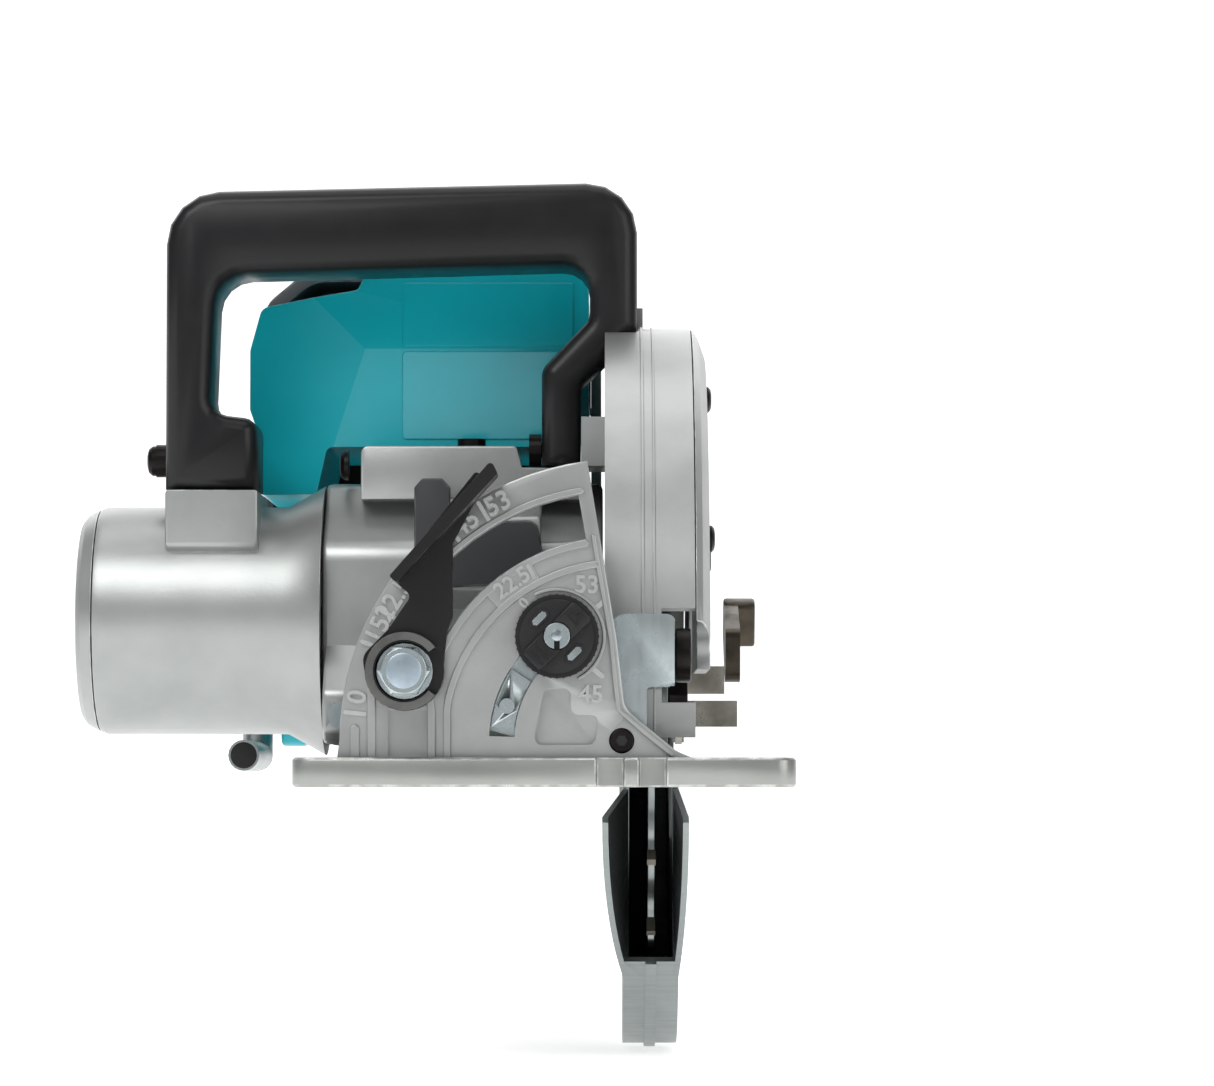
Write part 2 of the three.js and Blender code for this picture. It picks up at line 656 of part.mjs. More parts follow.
piece('motor_end_cap', cut(
  turned([
    [capRight - endCapLength, 0], [capRight - endCapLength, motorRadius - 4.5],
    [capRight - endCapLength + 1.5, motorRadius - 2.5], [capRight, motorRadius - 0.8], [capRight, 0],
  ], motorY, motorZ, 56),
  bar('x', motorY, motorZ, motorBearing + 0.1, capRight - 3, capRight + 1),
), steel);

piece('stator', ring('x', motorY, motorZ, rotorOuter + 1.5, statorOuter, -146, -108, 32), copper);
piece('motor_bearing_left', ring(
  'x', motorY, motorZ, rotorShaft + 0.1, motorBearing, capRight - 2.8, capRight - gap,
), steel);
const retainerRight = motorHousingRight - 2;
const retainerLeft = retainerRight - 4;
piece('bearing_retainer', cut(
  bar('x', motorY, motorZ, shellInner - gap, retainerLeft, retainerRight, 40),
  bar('x', motorY, motorZ, motorBearing + 0.1, retainerLeft - 1, retainerRight + 1),
), castSilver);
piece('motor_bearing_right', ring(
  'x', motorY, motorZ, rotorShaft + 0.1, motorBearing, retainerLeft, retainerLeft + bearingWidth,
), steel);

const meshTurn = Math.atan2(motorZ - arborZ, motorY - arborY);
const gearRight = gearLeft + gearWidth;
piece('rotor', join(
  bar('x', motorY, motorZ, rotorShaft, capRight - 2.5, gearLeft - 1.5),
  bar('x', motorY, motorZ, rotorOuter, -144, -110, 24),
  toothed(
    motorY, motorZ, pinionTeeth, gearModule * (pinionTeeth / 2 - 1.15),
    gearModule * (pinionTeeth / 2 + 0.55), 0.62, 0.26, meshTurn + Math.PI + Math.PI / pinionTeeth,
    gearLeft - 2, gearRight + 1,
  ),
), copper);
piece('cooling_fan', ring('x', motorY, motorZ, rotorShaft + 0.1, 25, -106, -101, 28), blackPlastic);

// ---------------------------------------------------------------- blade drive
piece('spindle', cut(
  join(
    bar('x', arborY, arborZ, spindleRadius, -52, -6.3, 24),
    bar('x', arborY, arborZ, spindleRadius + 3, gearRight + gap, gearRight + 2, 24),
  ),
  bar('x', arborY, arborZ, boltThreadRadius + boreClearance, -22, 0, 20),
), steel);
piece('driven_gear', cut(
  toothed(
    arborY, arborZ, driveTeeth, gearModule * (driveTeeth / 2 - 1.1),
    gearModule * (driveTeeth / 2 + 0.55), 0.62, 0.34, meshTurn, gearLeft, gearRight,
  ),
  bar('x', arborY, arborZ, spindleRadius + 0.1, gearLeft - 1, gearRight + 1, 24),
), steel);
piece('spindle_bearing', ring(
  'x', arborY, arborZ, spindleRadius + 0.15, bearingOuter, housingRight - 7.5, housingRight + 1.5, 32,
), steel);
const halfBlade = bladeThickness / 2;
const flangeBoss = 7.7;
piece('inner_flange', cut(
  join(
    bar('x', arborY, arborZ, flangeRadius, noseRight + gap, -halfBlade - gap, 40),
    bar('x', arborY, arborZ, flangeBoss, -halfBlade - 1, halfBlade + 0.1, 24),
  ),
  bar('x', arborY, arborZ, boltThreadRadius + boreClearance, -8, 2, 20),
), steel);
function blade() {
  const pitch = (2 * Math.PI) / bladeTeeth;
  const tooth = [[0, 0], [1.2, 0.22], [6, 0.5], [8, 0.72], [7, 0.9]];   // depth, share of a pitch
  const corners = [];
  for (let i = 0; i < bladeTeeth; i += 1) {
    tooth.forEach(([depth, share]) => {
      const turn = (i + share) * pitch;
      const radius = bladeRadius - depth;
      corners.push([arborY + radius * Math.cos(turn), arborZ + radius * Math.sin(turn)]);
    });
  }
  const shape = outline(corners);
  return cut(
    pull('x', shape, -halfBlade, halfBlade),
    bar('x', arborY, arborZ, flangeBoss + boreClearance, -2, 2, 24),
  );
}
piece('blade', blade(), steel);
const outerFlangeRight = halfBlade + gap + 4;
piece('outer_flange', ring(
  'x', arborY, arborZ, boltThreadRadius + boreClearance, flangeRadius, halfBlade + gap,
  outerFlangeRight, 40,
), steel);
piece('blade_bolt', join(
  bar('x', arborY, arborZ, 8.3, outerFlangeRight + gap, outerFlangeRight + gap + 5.5, 6),
  bar('x', arborY, arborZ, boltThreadRadius, -20, outerFlangeRight + 1, 20),
), blackSteel);

// ---------------------------------------------------------------- lower guard
const guardLip = 228;
const guardTail = 375;
const hubInner = noseRadius + boreClearance;
const hubOuter = 30;
const lipRoot = guardRadius - 24;   // where the walls begin to lean outwards
const lipStart = 201;
const lipOutLeft = -5.6;
const lipOutRight = 2.4;

// A strip of wall along the guard's front opening. It leans out by its full amount at the
// upper end and not at all where it runs into the closed rim.
function guardLipStrip(outer, inner, lean) {
  const steps = 10;
  const places = [];
  for (let i = 0; i <= steps; i += 1) {
    const turn = rad(lipStart + ((guardLip + 4 - lipStart) * i) / steps);
    const out = lean * (1 - (i / steps) ** 2);
    const section = [
      [outer, lipRoot - 0.5], [outer + out, guardRadius - 4], [outer + out, guardRadius],
      [inner + out, guardRadius], [inner + out, guardRadius - 4], [inner, lipRoot - 0.5],
    ];
    section.forEach(([x, radius]) => {
      places.push(x, arborY + radius * Math.cos(turn), arborZ + radius * Math.sin(turn));
    });
  }
  const around = 6;
  const faces = [];
  for (let i = 0; i < steps; i += 1) {
    for (let k = 0; k < around; k += 1) {
      const [a, b] = [i * around + k, i * around + ((k + 1) % around)];
      faces.push(a, b, b + around, a, b + around, a + around);
    }
  }
  const end = steps * around;
  [[0, 1, 5], [1, 4, 5], [1, 2, 4], [2, 3, 4]].forEach(([a, b, c]) => {
    faces.push(a, c, b, end + a, end + b, end + c);
  });
  const geometry = new THREE.BufferGeometry();
  geometry.setAttribute('position', new THREE.Float32BufferAttribute(places, 3));
  geometry.setIndex(faces);
  return solid(geometry);
}

function lowerGuard() {
  const [left, right] = [-guardHalfWidth, guardHalfWidth];
  const rim = sector(
    'x', arborY, arborZ, guardRadius - guardWall, guardRadius, guardLip, guardTail, left, right, 30,
  );
  const rib = sector('x', arborY, arborZ, guardRadius - 1, guardRadius + 1, guardLip, 330, -1.5, 1.5, 24);
  const innerWall = join(
    sector('x', arborY, arborZ, hubInner + 4, guardRadius - 0.5, 200, guardTail, left, left + guardWall, 30),
    ring('x', arborY, arborZ, hubInner, hubOuter, left - 0.8, left + 0.8, 40),
  );
  const outerWall = join(
    sector('x', arborY, arborZ, 40, guardRadius - 0.5, 203, guardTail, right - guardWall, right, 30),
    sector('x', arborY, arborZ, 26, 42, 340, 392, right - guardWall, right, 8),
  );
  const lipRoom = sector(
    'x', arborY, arborZ, lipRoot, guardRadius + 2, 190, guardLip + 0.5, left - 1, right + 1, 12,
  );
  return join(
    cut(join(innerWall, outerWall), lipRoom), rim, rib,
    guardLipStrip(left, left + guardWall, lipOutLeft),
    guardLipStrip(right, right - guardWall, lipOutRight),
  );
}
piece('lower_guard', lowerGuard(), steel);

const bracketFoot = guardHalfWidth + gap;
const leverAngle = 21;
const leverReach = 63;
function leverBracket() {
  const foot = sector('x', arborY, arborZ, 26.5, 36, -22, 28, bracketFoot, bracketFoot + 2, 10);
  const arm = block(
    bracketFoot, 25.6, arborY + 24.8, arborY + 27.6, arborZ - 8.5, arborZ - 1,
  );
  const joinArm = block(bracketFoot, bracketFoot + 2, arborY + 24.8, arborY + 30, arborZ - 8.5, arborZ - 1);
  const strap = block(
    bracketFoot, 22, arborY + 28.5, arborY + 31, arborZ + 1, arborZ + 9,
  );
  return join(foot, arm, joinArm, strap);
}
piece('guard_lever_bracket', leverBracket(), nickel);
function guardLever() {
  const plate = pull('x', outline([
    [26, -5, 3], [36, -9, 3], [50, -7, 3], [leverReach, -4, 3], [leverReach, 7, 3], [48, 8, 4], [30, 9, 3],
  ]), 22.3, 26.5);
  const pad = pull('x', outline([
    [leverReach - 7, -6, 2], [leverReach, -5, 2], [leverReach, 8, 2], [leverReach - 7, 8, 2],
  ]), 22.3, 31.5, 0.8);
  return join(plate, pad).rotate([leverAngle, 0, 0]).translate([0, arborY, arborZ]);
}
piece('guard_lever', guardLever(), leverBrown);

// ---------------------------------------------------------------- blade case
const caseBottom = 13;
const handleInRight = -3.4;      // right side of the front handle
const hubOpening = 31;
const handleBossTop = 103;
const clampY = depthPivotY + depthGuideRadius * Math.cos(rad(depthClampAngle));
const clampZ = depthPivotZ + depthGuideRadius * Math.sin(rad(depthClampAngle));
function bladeCase() {
  const drum = cut(
    bar('x', arborY, arborZ, caseOutside, caseLeft, caseRight, 72),
    bar('x', arborY, arborZ, caseInside, caseLeft + caseSideWall, caseRight + 1, 72),
    block(caseLeft - 1, caseRight + 1, arborY - 130, arborY + 130, arborZ - 130, caseBottom),
    bar('x', arborY, arborZ, hubOpening, caseLeft - 1, caseRight + 1, 40),
  );
  const fin = sector(
    'x', arborY, arborZ, caseOutside - 1, caseOutside + 8, 48, 84, -3.6, -1.6, 10,
  );
  const pivotLug = cut(
    pull('x', outline([
      [depthPivotY - pivotEar + 1, depthPivotZ - 7, 4], [depthPivotY + pivotEar, depthPivotZ - 7, 2],
      [depthPivotY + pivotEar + 4, depthPivotZ + 12, 3], [depthPivotY - pivotEar + 1, depthPivotZ + 7, 4],
    ]), caseLeft, earLeft - gap),
    bar('x', arborY, arborZ, caseInside, caseLeft + caseSideWall, caseRight, 72),
  );
  const pinHole = bar(
    'x', depthPivotY, depthPivotZ, pivotPin + boreClearance, caseLeft - 1, earLeft + 1, 24,
  );
  const handleBoss = block(
    caseLeft - 6.6, caseLeft + 1, handleFront + 1, handleBack - 1, handleFootTop, handleBossTop,
  );
  const handleRoom = pull('y', outline([
    [handleInRight - 15.5, 111.6], [handleInRight + gap, 127.2], [handleInRight + gap, 140],
    [handleInRight - 15.5, 140],
  ]), handleFront - gap, handleBack + gap);
  const earRoom = bar('x', depthPivotY, depthPivotZ, 12.5, earLeft - gap, caseRight + 1, 32);
  const clampBoss = bar('x', clampY, clampZ, 5, caseLeft - 0.7, caseLeft + 1, 20);
  return cut(
    join(cut(drum, handleRoom, earRoom), fin, pivotLug, handleBoss, clampBoss), pinHole,
  );
}
piece('blade_case', bladeCase(), castSilver);

const outerPlateBottom = 31;
const outerPlateLeft = caseRight + gap;
const outerPlateRight = outerPlateLeft + outerPlateThickness;
function outerPlate() {
  const disc = turned([
    [outerPlateLeft, 0], [outerPlateLeft, caseOutside], [outerPlateRight - 2, caseOutside - 2.5],
    [outerPlateRight, caseOutside - 8], [outerPlateRight, 0],
  ], arborY, arborZ, 72);
  return cut(
    disc,
    bar('x', arborY, arborZ, 38, outerPlateLeft - 1, outerPlateRight + 1, 40),
    block(outerPlateLeft - 1, outerPlateRight + 1, arborY - 130, arborY + 130, -100, outerPlateBottom),
    bar('x', depthPivotY, depthPivotZ, 9, outerPlateLeft - 1, outerPlateRight + 1, 24),
  );
}
piece('blade_case_outer_plate', outerPlate(), castSilver);

// depth clamp: a bolt through the guide's slot with a lever on its left end
const depthLeverRight = guideLeft - gap;
piece('depth_clamp_bolt', bar(
  'x', clampY, clampZ, clampBolt, depthLeverRight - 7, caseLeft - 0.7 - gap, 20,
), zinc);
piece('depth_lock_lever', cut(
  join(
    bar('x', clampY, clampZ, 8, depthLeverRight - 6, depthLeverRight, 28),
    pull('x', outline([
      [clampY - 4, clampZ + 5, 2], [clampY + 6, clampZ + 5, 3], [clampY + 27, clampZ - 15, 4],
      [clampY + 22, clampZ - 23, 4], [clampY - 4, clampZ - 6, 2],
    ]), depthLeverRight - 6, depthLeverRight - 1.5, 0.8),
  ),
  bar('x', clampY, clampZ, clampBolt + boreClearance, depthLeverRight - 9, depthLeverRight + 1, 20),
), blackPlastic);

// ---------------------------------------------------------------- shaft lock
const lockPlateFront = 73.6;
piece('shaft_lock_lever', join(
  pull('y', outline([
    [-64.7, 56], [-54, 54.5], [-30, 56, 2], [-29, 62, 3], [-31, 73, 3], [-54.8, 72.5],
    [-54.8, 82, 1], [-57, 84.5, 1], [-62.5, 84.5, 1], [-64.7, 82, 1],
  ]), lockPlateFront, lockPlateFront + 3.2, 0.6),
  bar('y', lockPinX, lockPinZ, lockPin, lockPlateFront + 2, 81, 20),
), greyPlastic);

// ---------------------------------------------------------------- front handle
function frontHandle() {
  const top = handleHeight;
  const loop = outline([
    [handleLeft, pedestalTop + gap], [handleLeft, top - 3, 15], [handleInRight, top, 14],
    [handleInRight, 127.6, 5], [-19.3, 112.2, 5], [-19.3, handleFootTop], [-30, handleFootTop],
    [-30, 116.4, 5], [-16.6, 130.4, 5], [-16.6, top - 23, 8], [-121, top - 26, 9],
    [-122.5, 104, 5], [-109.5, 102.4, 4], [-109.5, pedestalTop + gap],
  ]);
  return pull('y', loop, handleFront, handleBack, 3.6);
}
piece('front_handle', frontHandle(), blackPlastic);

const handleMid = (handleFront + handleBack) / 2;
const sideScrew = (x, z, bossX) => join(
  bar('x', handleMid, z, 4.6, x - 3.4, x, 24),
  bar('x', handleMid, z, 2, x - 1, bossX, 16),
);
const handleScrewZ = 91.5;
piece('handle_screw_left', sideScrew(handleLeft - gap, handleScrewZ, handleLeft - 0.1), blackSteel);
piece('handle_screw_right', sideScrew(-30 - gap, handleScrewZ + 3, -30.1), blackSteel);

// ---------------------------------------------------------------- housings
const housingLow = motorZ + motorRadius + 4.4;
const frontFace = (inset) => outline([
  [-17 - inset, 97 + inset, 3], [-17 - inset, 148.5 - inset, 7], [-81.4, 146.6 - inset, 2],
  [-83.4, 142.3 - inset, 2], [-111.2 + inset, 137.5 - inset, 3], [-114.6 + inset, 125.3, 3],
  [-114.6 + inset, 108.2, 3], [-112.6 + inset, 102.5, 2],
  [-112 + inset, housingLow + inset, 2], [-95, housingLow + inset, 2], [-92, 97 + inset, 2],
]);
const housingFace = 131.6;
const housingCrease = 125;       // height of the level crease across the front face
const housingFold = -81;         // where the face folds back towards the left
// Three flat facets lean back from the creases of the front face.
const facets = [
  pull('x', outline([
    [housingFace - 1, housingCrease], [housingFace, housingCrease],
    [housingFace + 7, 150], [housingFace - 1, 150],
  ]), -120, -10),
  pull('x', outline([
    [housingFace - 1, housingCrease], [housingFace, housingCrease],
    [housingFace + 4, 82], [housingFace - 1, 82],
  ]), -120, -10),
  pull('z', outline([
    [housingFold, housingFace - 1], [housingFold, housingFace],
    [-120, housingFace + 11], [-120, housingFace - 1],
  ]), 80, 152),
];
piece('controller_housing_front', cut(
  pull('y', frontFace(0), housingFace, housingJoint, 1.2),
  ...facets,
  pull('y', frontFace(housingWall), housingFace + 12 + housingWall, housingJoint + 1),
), teal);

const rearFace = (inset) => outline([
  [-116 + inset, 72 + inset, 6], [-20 - inset, 72 + inset, 6], [-20 - inset, 150 - inset, 8],
  [-30, 156 - inset, 8], [-104 + inset, 156 - inset, 10], [-116 + inset, 146 - inset, 8],
]);
const rearHousingFront = housingJoint + gap;
piece('controller_housing_rear', cut(
  pull('y', rearFace(0), rearHousingFront, housingBack, 1.2),
  pull('y', rearFace(housingWall), rearHousingFront - 1, housingBack - housingWall),
), greyPlastic);
piece('controller_module', block(-105, -40, 170, 250, 106, 134), greyPlastic);

// ---------------------------------------------------------------- rear handle
const triggerHinge = [318, 150];
const handleFrontEdge = housingBack + gap;
const triggerHalf = 7;
const lockOffY = 300;
const lockOffZ = 174.5;
function rearHandleHalf(side) {
  const outer = outline([
    [handleFrontEdge, batteryTop + gap + 1.7], [handleFrontEdge, 166], [263, 184, 7],
    [274, rearHandleTop, 6], [292, 182, 10], [372, 157, 12], [398, 146, 14], [409, 118, 16],
    [404, 92, 8], [392, batteryTop + gap + 1.7, 4],
  ]);
  const finger = outline([
    [280, 104, 7], [281, 146, 8], [292, 157, 6], [365, 134, 10], [384, 124, 8],
    [386, 106, 7], [380, 99, 6], [288, 99, 6],
  ]);
  const near = rearHandleX + side * gap / 2;
  const far = rearHandleX + side * rearHandleHalfWidth;
  const [low, high] = side < 0 ? [far, near] : [near, far];
  const half = cut(
    pull('x', outer, low - (side > 0 ? 3.4 : 0), high + (side < 0 ? 3.4 : 0), 3.2),
    pull('x', finger, low - 4, high + 4),
    block(side > 0 ? low - 8 : high, side > 0 ? low : high + 8, 240, 420, 60, 200),
  );
  const well = block(
    rearHandleX - triggerHalf - gap, rearHandleX + triggerHalf + gap, 284, 324, 130, 170,
  );
  const hinge = bar('x', ...triggerHinge, 2.3, rearHandleX - 12, rearHandleX + 12, 16);
  const buttonHole = bar('x', lockOffY, lockOffZ, 4.6, rearHandleX - 20, rearHandleX + 20, 24);
  return cut(half, well, hinge, buttonHole);
}
piece('rear_handle_left', rearHandleHalf(-1), teal);
piece('rear_handle_right', rearHandleHalf(1), teal);

// trigger: pivots at its rear end and swings up into the handle
const [hingeY, hingeZ] = triggerHinge;
piece('trigger', join(
  pull('x', outline([
    [hingeY + 3, hingeZ + 3, 2], [287, 161, 1], [286, 154, 2], [290, 146, 4], [300, 141.5, 4],
    [hingeY - 4, hingeZ - 4, 3], [hingeY + 3, hingeZ - 3, 2],
  ]), rearHandleX - triggerHalf, rearHandleX + triggerHalf, 0.6),
  bar('x', hingeY, hingeZ, 2, rearHandleX - 11, rearHandleX + 11, 16),
), blackPlastic);
piece('switch_body', block(
  rearHandleX - triggerHalf, rearHandleX + triggerHalf, 287, 316, 163.6, 168.5,
), greyPlastic);
piece('lock_off_button', join(
  bar('x', lockOffY, lockOffZ, 4.2, rearHandleX - rearHandleHalfWidth - 3, rearHandleX + 10, 24),
), rubber);

// ---------------------------------------------------------------- battery
const batteryLeft = rearHandleX - batteryWidth / 2 - 2;
const batteryRight = batteryLeft + batteryWidth;
const batteryBack = batteryFront + batteryLength;
function batteryPack() {
  const face = outline([
    [batteryLeft, batteryTop - batteryHeight, 6], [batteryRight, batteryTop - batteryHeight, 6],
    [batteryRight, batteryTop, 5], [batteryLeft, batteryTop, 5],
  ]);
  const body = pull('y', face, batteryFront, batteryBack, 2);
  const buttonPocket = block(
    rearHandleX - 15, rearHandleX + 15, batteryBack - 7, batteryBack + 1,
    batteryTop - 22, batteryTop - 8,
  );
  const grooves = [batteryLeft, batteryRight].map((x) => (
    block(x - 1.4, x + 1.4, batteryFront + 12, batteryBack - 14, 38, 46)
  ));
  return cut(body, buttonPocket, ...grooves);
}
piece('battery_pack', batteryPack(), blackPlastic);
const buttonTravel = 3;
piece('battery_button', pull('y', outline([
  [rearHandleX - 14.4, batteryTop - 21.4, 2], [rearHandleX + 14.4, batteryTop - 21.4, 2],
  [rearHandleX + 14.4, batteryTop - 8.6, 2], [rearHandleX - 14.4, batteryTop - 8.6, 2],
]), batteryBack - 7 + buttonTravel + gap, batteryBack + 1, 1), greyPlastic);

// ---------------------------------------------------------------- rafter hook
const hookX = -119.5;
const hookLow = 9;
const hookEnd = 189;
const hookPivotZ = 62;
const hookBack = 250;
piece('rafter_hook', cut(
  join(
    bar('y', hookX, hookLow, hookRadius, hookEnd, hookBack, 20),
    solid(new THREE.SphereGeometry(hookRadius, 20, 12).translate(hookX, hookBack, hookLow)),
    bar('z', hookX, hookBack, hookRadius, hookLow, hookPivotZ, 20),
    bar('y', hookX, hookPivotZ, 7.5, hookBack - 5, hookBack + 5, 24),
  ),
  bar('y', hookX, hookPivotZ, 3 + boreClearance, hookBack - 6, hookBack + 6, 24),
), steel);
piece('hook_pivot', join(
  block(hookX - 5, hookX + 12, hookBack - 13, hookBack + 7.5, 70, 72 - gap),
  pull('x', outline([
    [hookBack - 13, 71], [hookBack + 7.5, 71], [hookBack + 7.5, 12, 5], [hookBack - 13, 12, 5],
  ]), hookX + 8, hookX + 15.5, 1),
  bar('y', hookX, hookPivotZ, 3, hookBack - 7.5, hookBack + 7.5, 20),
  ...[-1, 1].map((side) => pull('y', outline([
    [hookX - 5, hookPivotZ - 5, 3], [hookX + 5, hookPivotZ - 5, 3],
    [hookX + 5, 71], [hookX - 5, 71],
  ]), hookBack + side * 6.5 - 1.2, hookBack + side * 6.5 + 1.2)),
), teal);

export default group;
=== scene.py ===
# %% [markdown]
# # A rear-handle circular saw, piece by piece
# The saw's shapes, sizes and joints come from a packed design: steel and cast parts
# grouped into bodies that turn or slide on each other. This lesson leaves every size
# alone and gives the parts their surfaces: rounded edges, raised scales, screw
# recesses, rubber, and finishes such as silver paint, zinc and moulded plastic.

# %% Load the frame
import json
import math

import bmesh
import bpy
from mathutils import Matrix, Vector


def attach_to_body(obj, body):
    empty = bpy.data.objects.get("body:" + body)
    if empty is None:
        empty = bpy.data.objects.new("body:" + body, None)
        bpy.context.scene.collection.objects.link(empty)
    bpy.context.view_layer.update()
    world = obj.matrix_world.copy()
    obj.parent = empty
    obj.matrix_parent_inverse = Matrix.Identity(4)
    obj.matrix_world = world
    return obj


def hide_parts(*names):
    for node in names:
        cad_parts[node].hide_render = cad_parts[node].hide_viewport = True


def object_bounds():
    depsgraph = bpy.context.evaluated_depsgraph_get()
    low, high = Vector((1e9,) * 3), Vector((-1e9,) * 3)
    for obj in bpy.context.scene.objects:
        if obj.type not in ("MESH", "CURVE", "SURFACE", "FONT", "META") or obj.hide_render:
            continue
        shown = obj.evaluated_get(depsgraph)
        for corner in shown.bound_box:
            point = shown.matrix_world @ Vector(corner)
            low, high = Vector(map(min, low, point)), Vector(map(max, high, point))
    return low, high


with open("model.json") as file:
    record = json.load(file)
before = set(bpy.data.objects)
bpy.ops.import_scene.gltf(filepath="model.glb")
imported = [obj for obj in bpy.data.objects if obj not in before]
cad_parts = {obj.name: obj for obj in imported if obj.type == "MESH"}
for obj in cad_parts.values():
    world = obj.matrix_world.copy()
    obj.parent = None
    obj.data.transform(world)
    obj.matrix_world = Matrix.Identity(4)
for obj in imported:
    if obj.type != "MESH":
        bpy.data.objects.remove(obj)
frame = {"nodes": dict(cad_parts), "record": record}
cad_box = [list(corner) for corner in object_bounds()]
MM = 0.001
record_slots = {part["node"]: part["material_slot"] for part in frame["record"]["subparts"]}
body_of_node = {node: body for body, nodes in frame["record"]["behaviour"]["bodies"].items()
                for node in nodes}

# %% [markdown]
# ## Shader maths written as sums
# A material varies over a surface by numbers worked out at each point. Adding Math
# nodes by hand is slow to read, so a small class wraps a socket and turns + - and *
# into those nodes. The finish class below makes every other node by one method.

# %% A value in a material
class Value:
    """A number that changes over the surface: sums and products add Math nodes."""

    def __init__(self, finish, socket):
        self.finish = finish
        self.socket = socket

    def maths(self, operation, first, second):
        return self.finish.add("ShaderNodeMath", {"operation": operation}, {0: first, 1: second})

    def __add__(self, other):
        return self.maths("ADD", self, other)

    __radd__ = __add__

    def __sub__(self, other):
        return self.maths("SUBTRACT", self, other)

    def __mul__(self, other):
        return self.maths("MULTIPLY", self, other)

    __rmul__ = __mul__


# %% A material and its nodes
class Finish:
    """One material: a principled shader and the nodes that vary it."""

    def __init__(self, name, **fixed):
        self.material = bpy.data.materials.new(name)
        self.material.use_nodes = True
        self.nodes = self.material.node_tree.nodes
        self.links = self.material.node_tree.links
        self.shader = self.nodes["Principled BSDF"]
        for socket, number in fixed.items():
            self.shader.inputs[socket.replace("_", " ")].default_value = number
        self.place = self.add("ShaderNodeTexCoord", output="Object")

    def add(self, kind, settings=None, inputs=None, output=0):
        node = self.nodes.new(kind)
        for key, value in (settings or {}).items():
            setattr(node, key, value)
        for key, value in (inputs or {}).items():
            self.feed(node.inputs[key], value)
        return Value(self, node.outputs[output])

    def feed(self, socket, value):
        if isinstance(value, Value):
            self.links.new(value.socket, socket)
        else:
            socket.default_value = value

    def stretched(self, x=1.0, y=1.0, z=1.0):
        return self.add("ShaderNodeMapping", None, {"Vector": self.place, "Scale": (x, y, z)})

    def noise(self, per_metre, detail=3.0, vector=None):
        inputs = {"Vector": vector or self.place, "Scale": per_metre, "Detail": detail}
        return self.add("ShaderNodeTexNoise", None, inputs)

    def between(self, value, low, high):
        inputs = {"Value": value, "From Min": low, "From Max": high}
        return self.add("ShaderNodeMapRange", {"clamp": True}, inputs)

    def colours(self, factor, first, second):
        node = self.nodes.new("ShaderNodeMix")
        node.data_type = "RGBA"
        colour_inputs = [s for s in node.inputs if s.type == "RGBA"]
        self.feed(node.inputs[0], factor)
        self.feed(colour_inputs[0], first)
        self.feed(colour_inputs[1], second)
        result = [s for s in node.outputs if s.type == "RGBA"][0]
        return Value(self, result)

    def set(self, socket, value):
        self.feed(self.shader.inputs[socket], value)

    def bump(self, height, strength, distance_mm):
        inputs = {"Height": height, "Strength": strength, "Distance": distance_mm * MM}
        self.set("Normal", self.add("ShaderNodeBump", None, inputs))


# %% Colours as a shader wants them
def linear(hex_colour):
    """A #RRGGBB colour as the linear numbers a shader works in."""
    def channel(start):
        share = int(hex_colour[start:start + 2], 16) / 255
        return share / 12.92 if share <= 0.04045 else ((share + 0.055) / 1.055) ** 2.4
    return (channel(1), channel(3), channel(5), 1.0)


print("shader helpers ready")

# %% [markdown]
# ## The finishes
# The cast aluminium parts are painted silver: metal flakes under a thin coat, so the
# finish is metallic but soft, with a fine grain and paint rubbed thin on the edges.
# Zinc plate is smoother and bluer, with cloudy patches. Moulded plastic has a spark-
# eroded grain, and the ground steel of the guard shows lines that follow the grinding.
# A picture could be wrapped round each part, but noise worked out at each point has no
# seams and stays fine up close. So a finish mixes two near colours by noise, and finer
# noise varies how rough and how bumpy it is.

# %% Make the finishes
def worn_edges(finish, amount):
    """Where the 'worn' attribute marks an edge, broken up so that it looks rubbed."""
    edge = finish.add("ShaderNodeAttribute", {"attribute_name": "worn"}, output="Fac")
    patches = finish.between(finish.noise(260, 4.0), 0.42, 0.62)
    return edge * patches * amount


def cast_paint(name, light, dark, roughness):
    paint = Finish(name, Metallic=0.72, IOR=1.5)
    mottle = paint.between(paint.noise(45, 4.0), 0.35, 0.7)
    colour = paint.colours(mottle, linear(light), linear(dark))
    wear = worn_edges(paint, 0.5)
    paint.set("Base Color", paint.colours(wear, colour, linear("#E4E6E4")))
    flakes = paint.noise(5200, 1.0)
    paint.set("Roughness", roughness + 0.16 * flakes - 0.1 * wear)
    paint.bump(paint.noise(900, 3.0) + 0.35 * paint.noise(3200, 2.0), 0.22, 0.12)
    return paint.material


def plated(name, colour, patch, roughness):
    plate = Finish(name, Metallic=1.0)
    clouds = plate.between(plate.noise(120, 5.0), 0.4, 0.66)
    plate.set("Base Color", plate.colours(clouds, linear(colour), linear(patch)))
    scratches = plate.noise(600, 4.0, plate.stretched(1.0, 1.0, 0.08))
    plate.set("Roughness", roughness + 0.12 * clouds + 0.1 * scratches)
    plate.bump(scratches, 0.12, 0.05)
    return plate.material


def ground_steel(name, colour, patch, roughness, along):
    steel = Finish(name, Metallic=1.0)
    lines = steel.noise(900, 3.0, steel.stretched(*along))
    smudge = steel.between(steel.noise(30, 3.0), 0.4, 0.7)
    shade = 0.7 * lines + 0.3 * smudge
    steel.set("Base Color", steel.colours(shade, linear(colour), linear(patch)))
    steel.set("Roughness", roughness + 0.22 * lines + 0.08 * smudge)
    steel.bump(lines, 0.2, 0.05)
    return steel.material


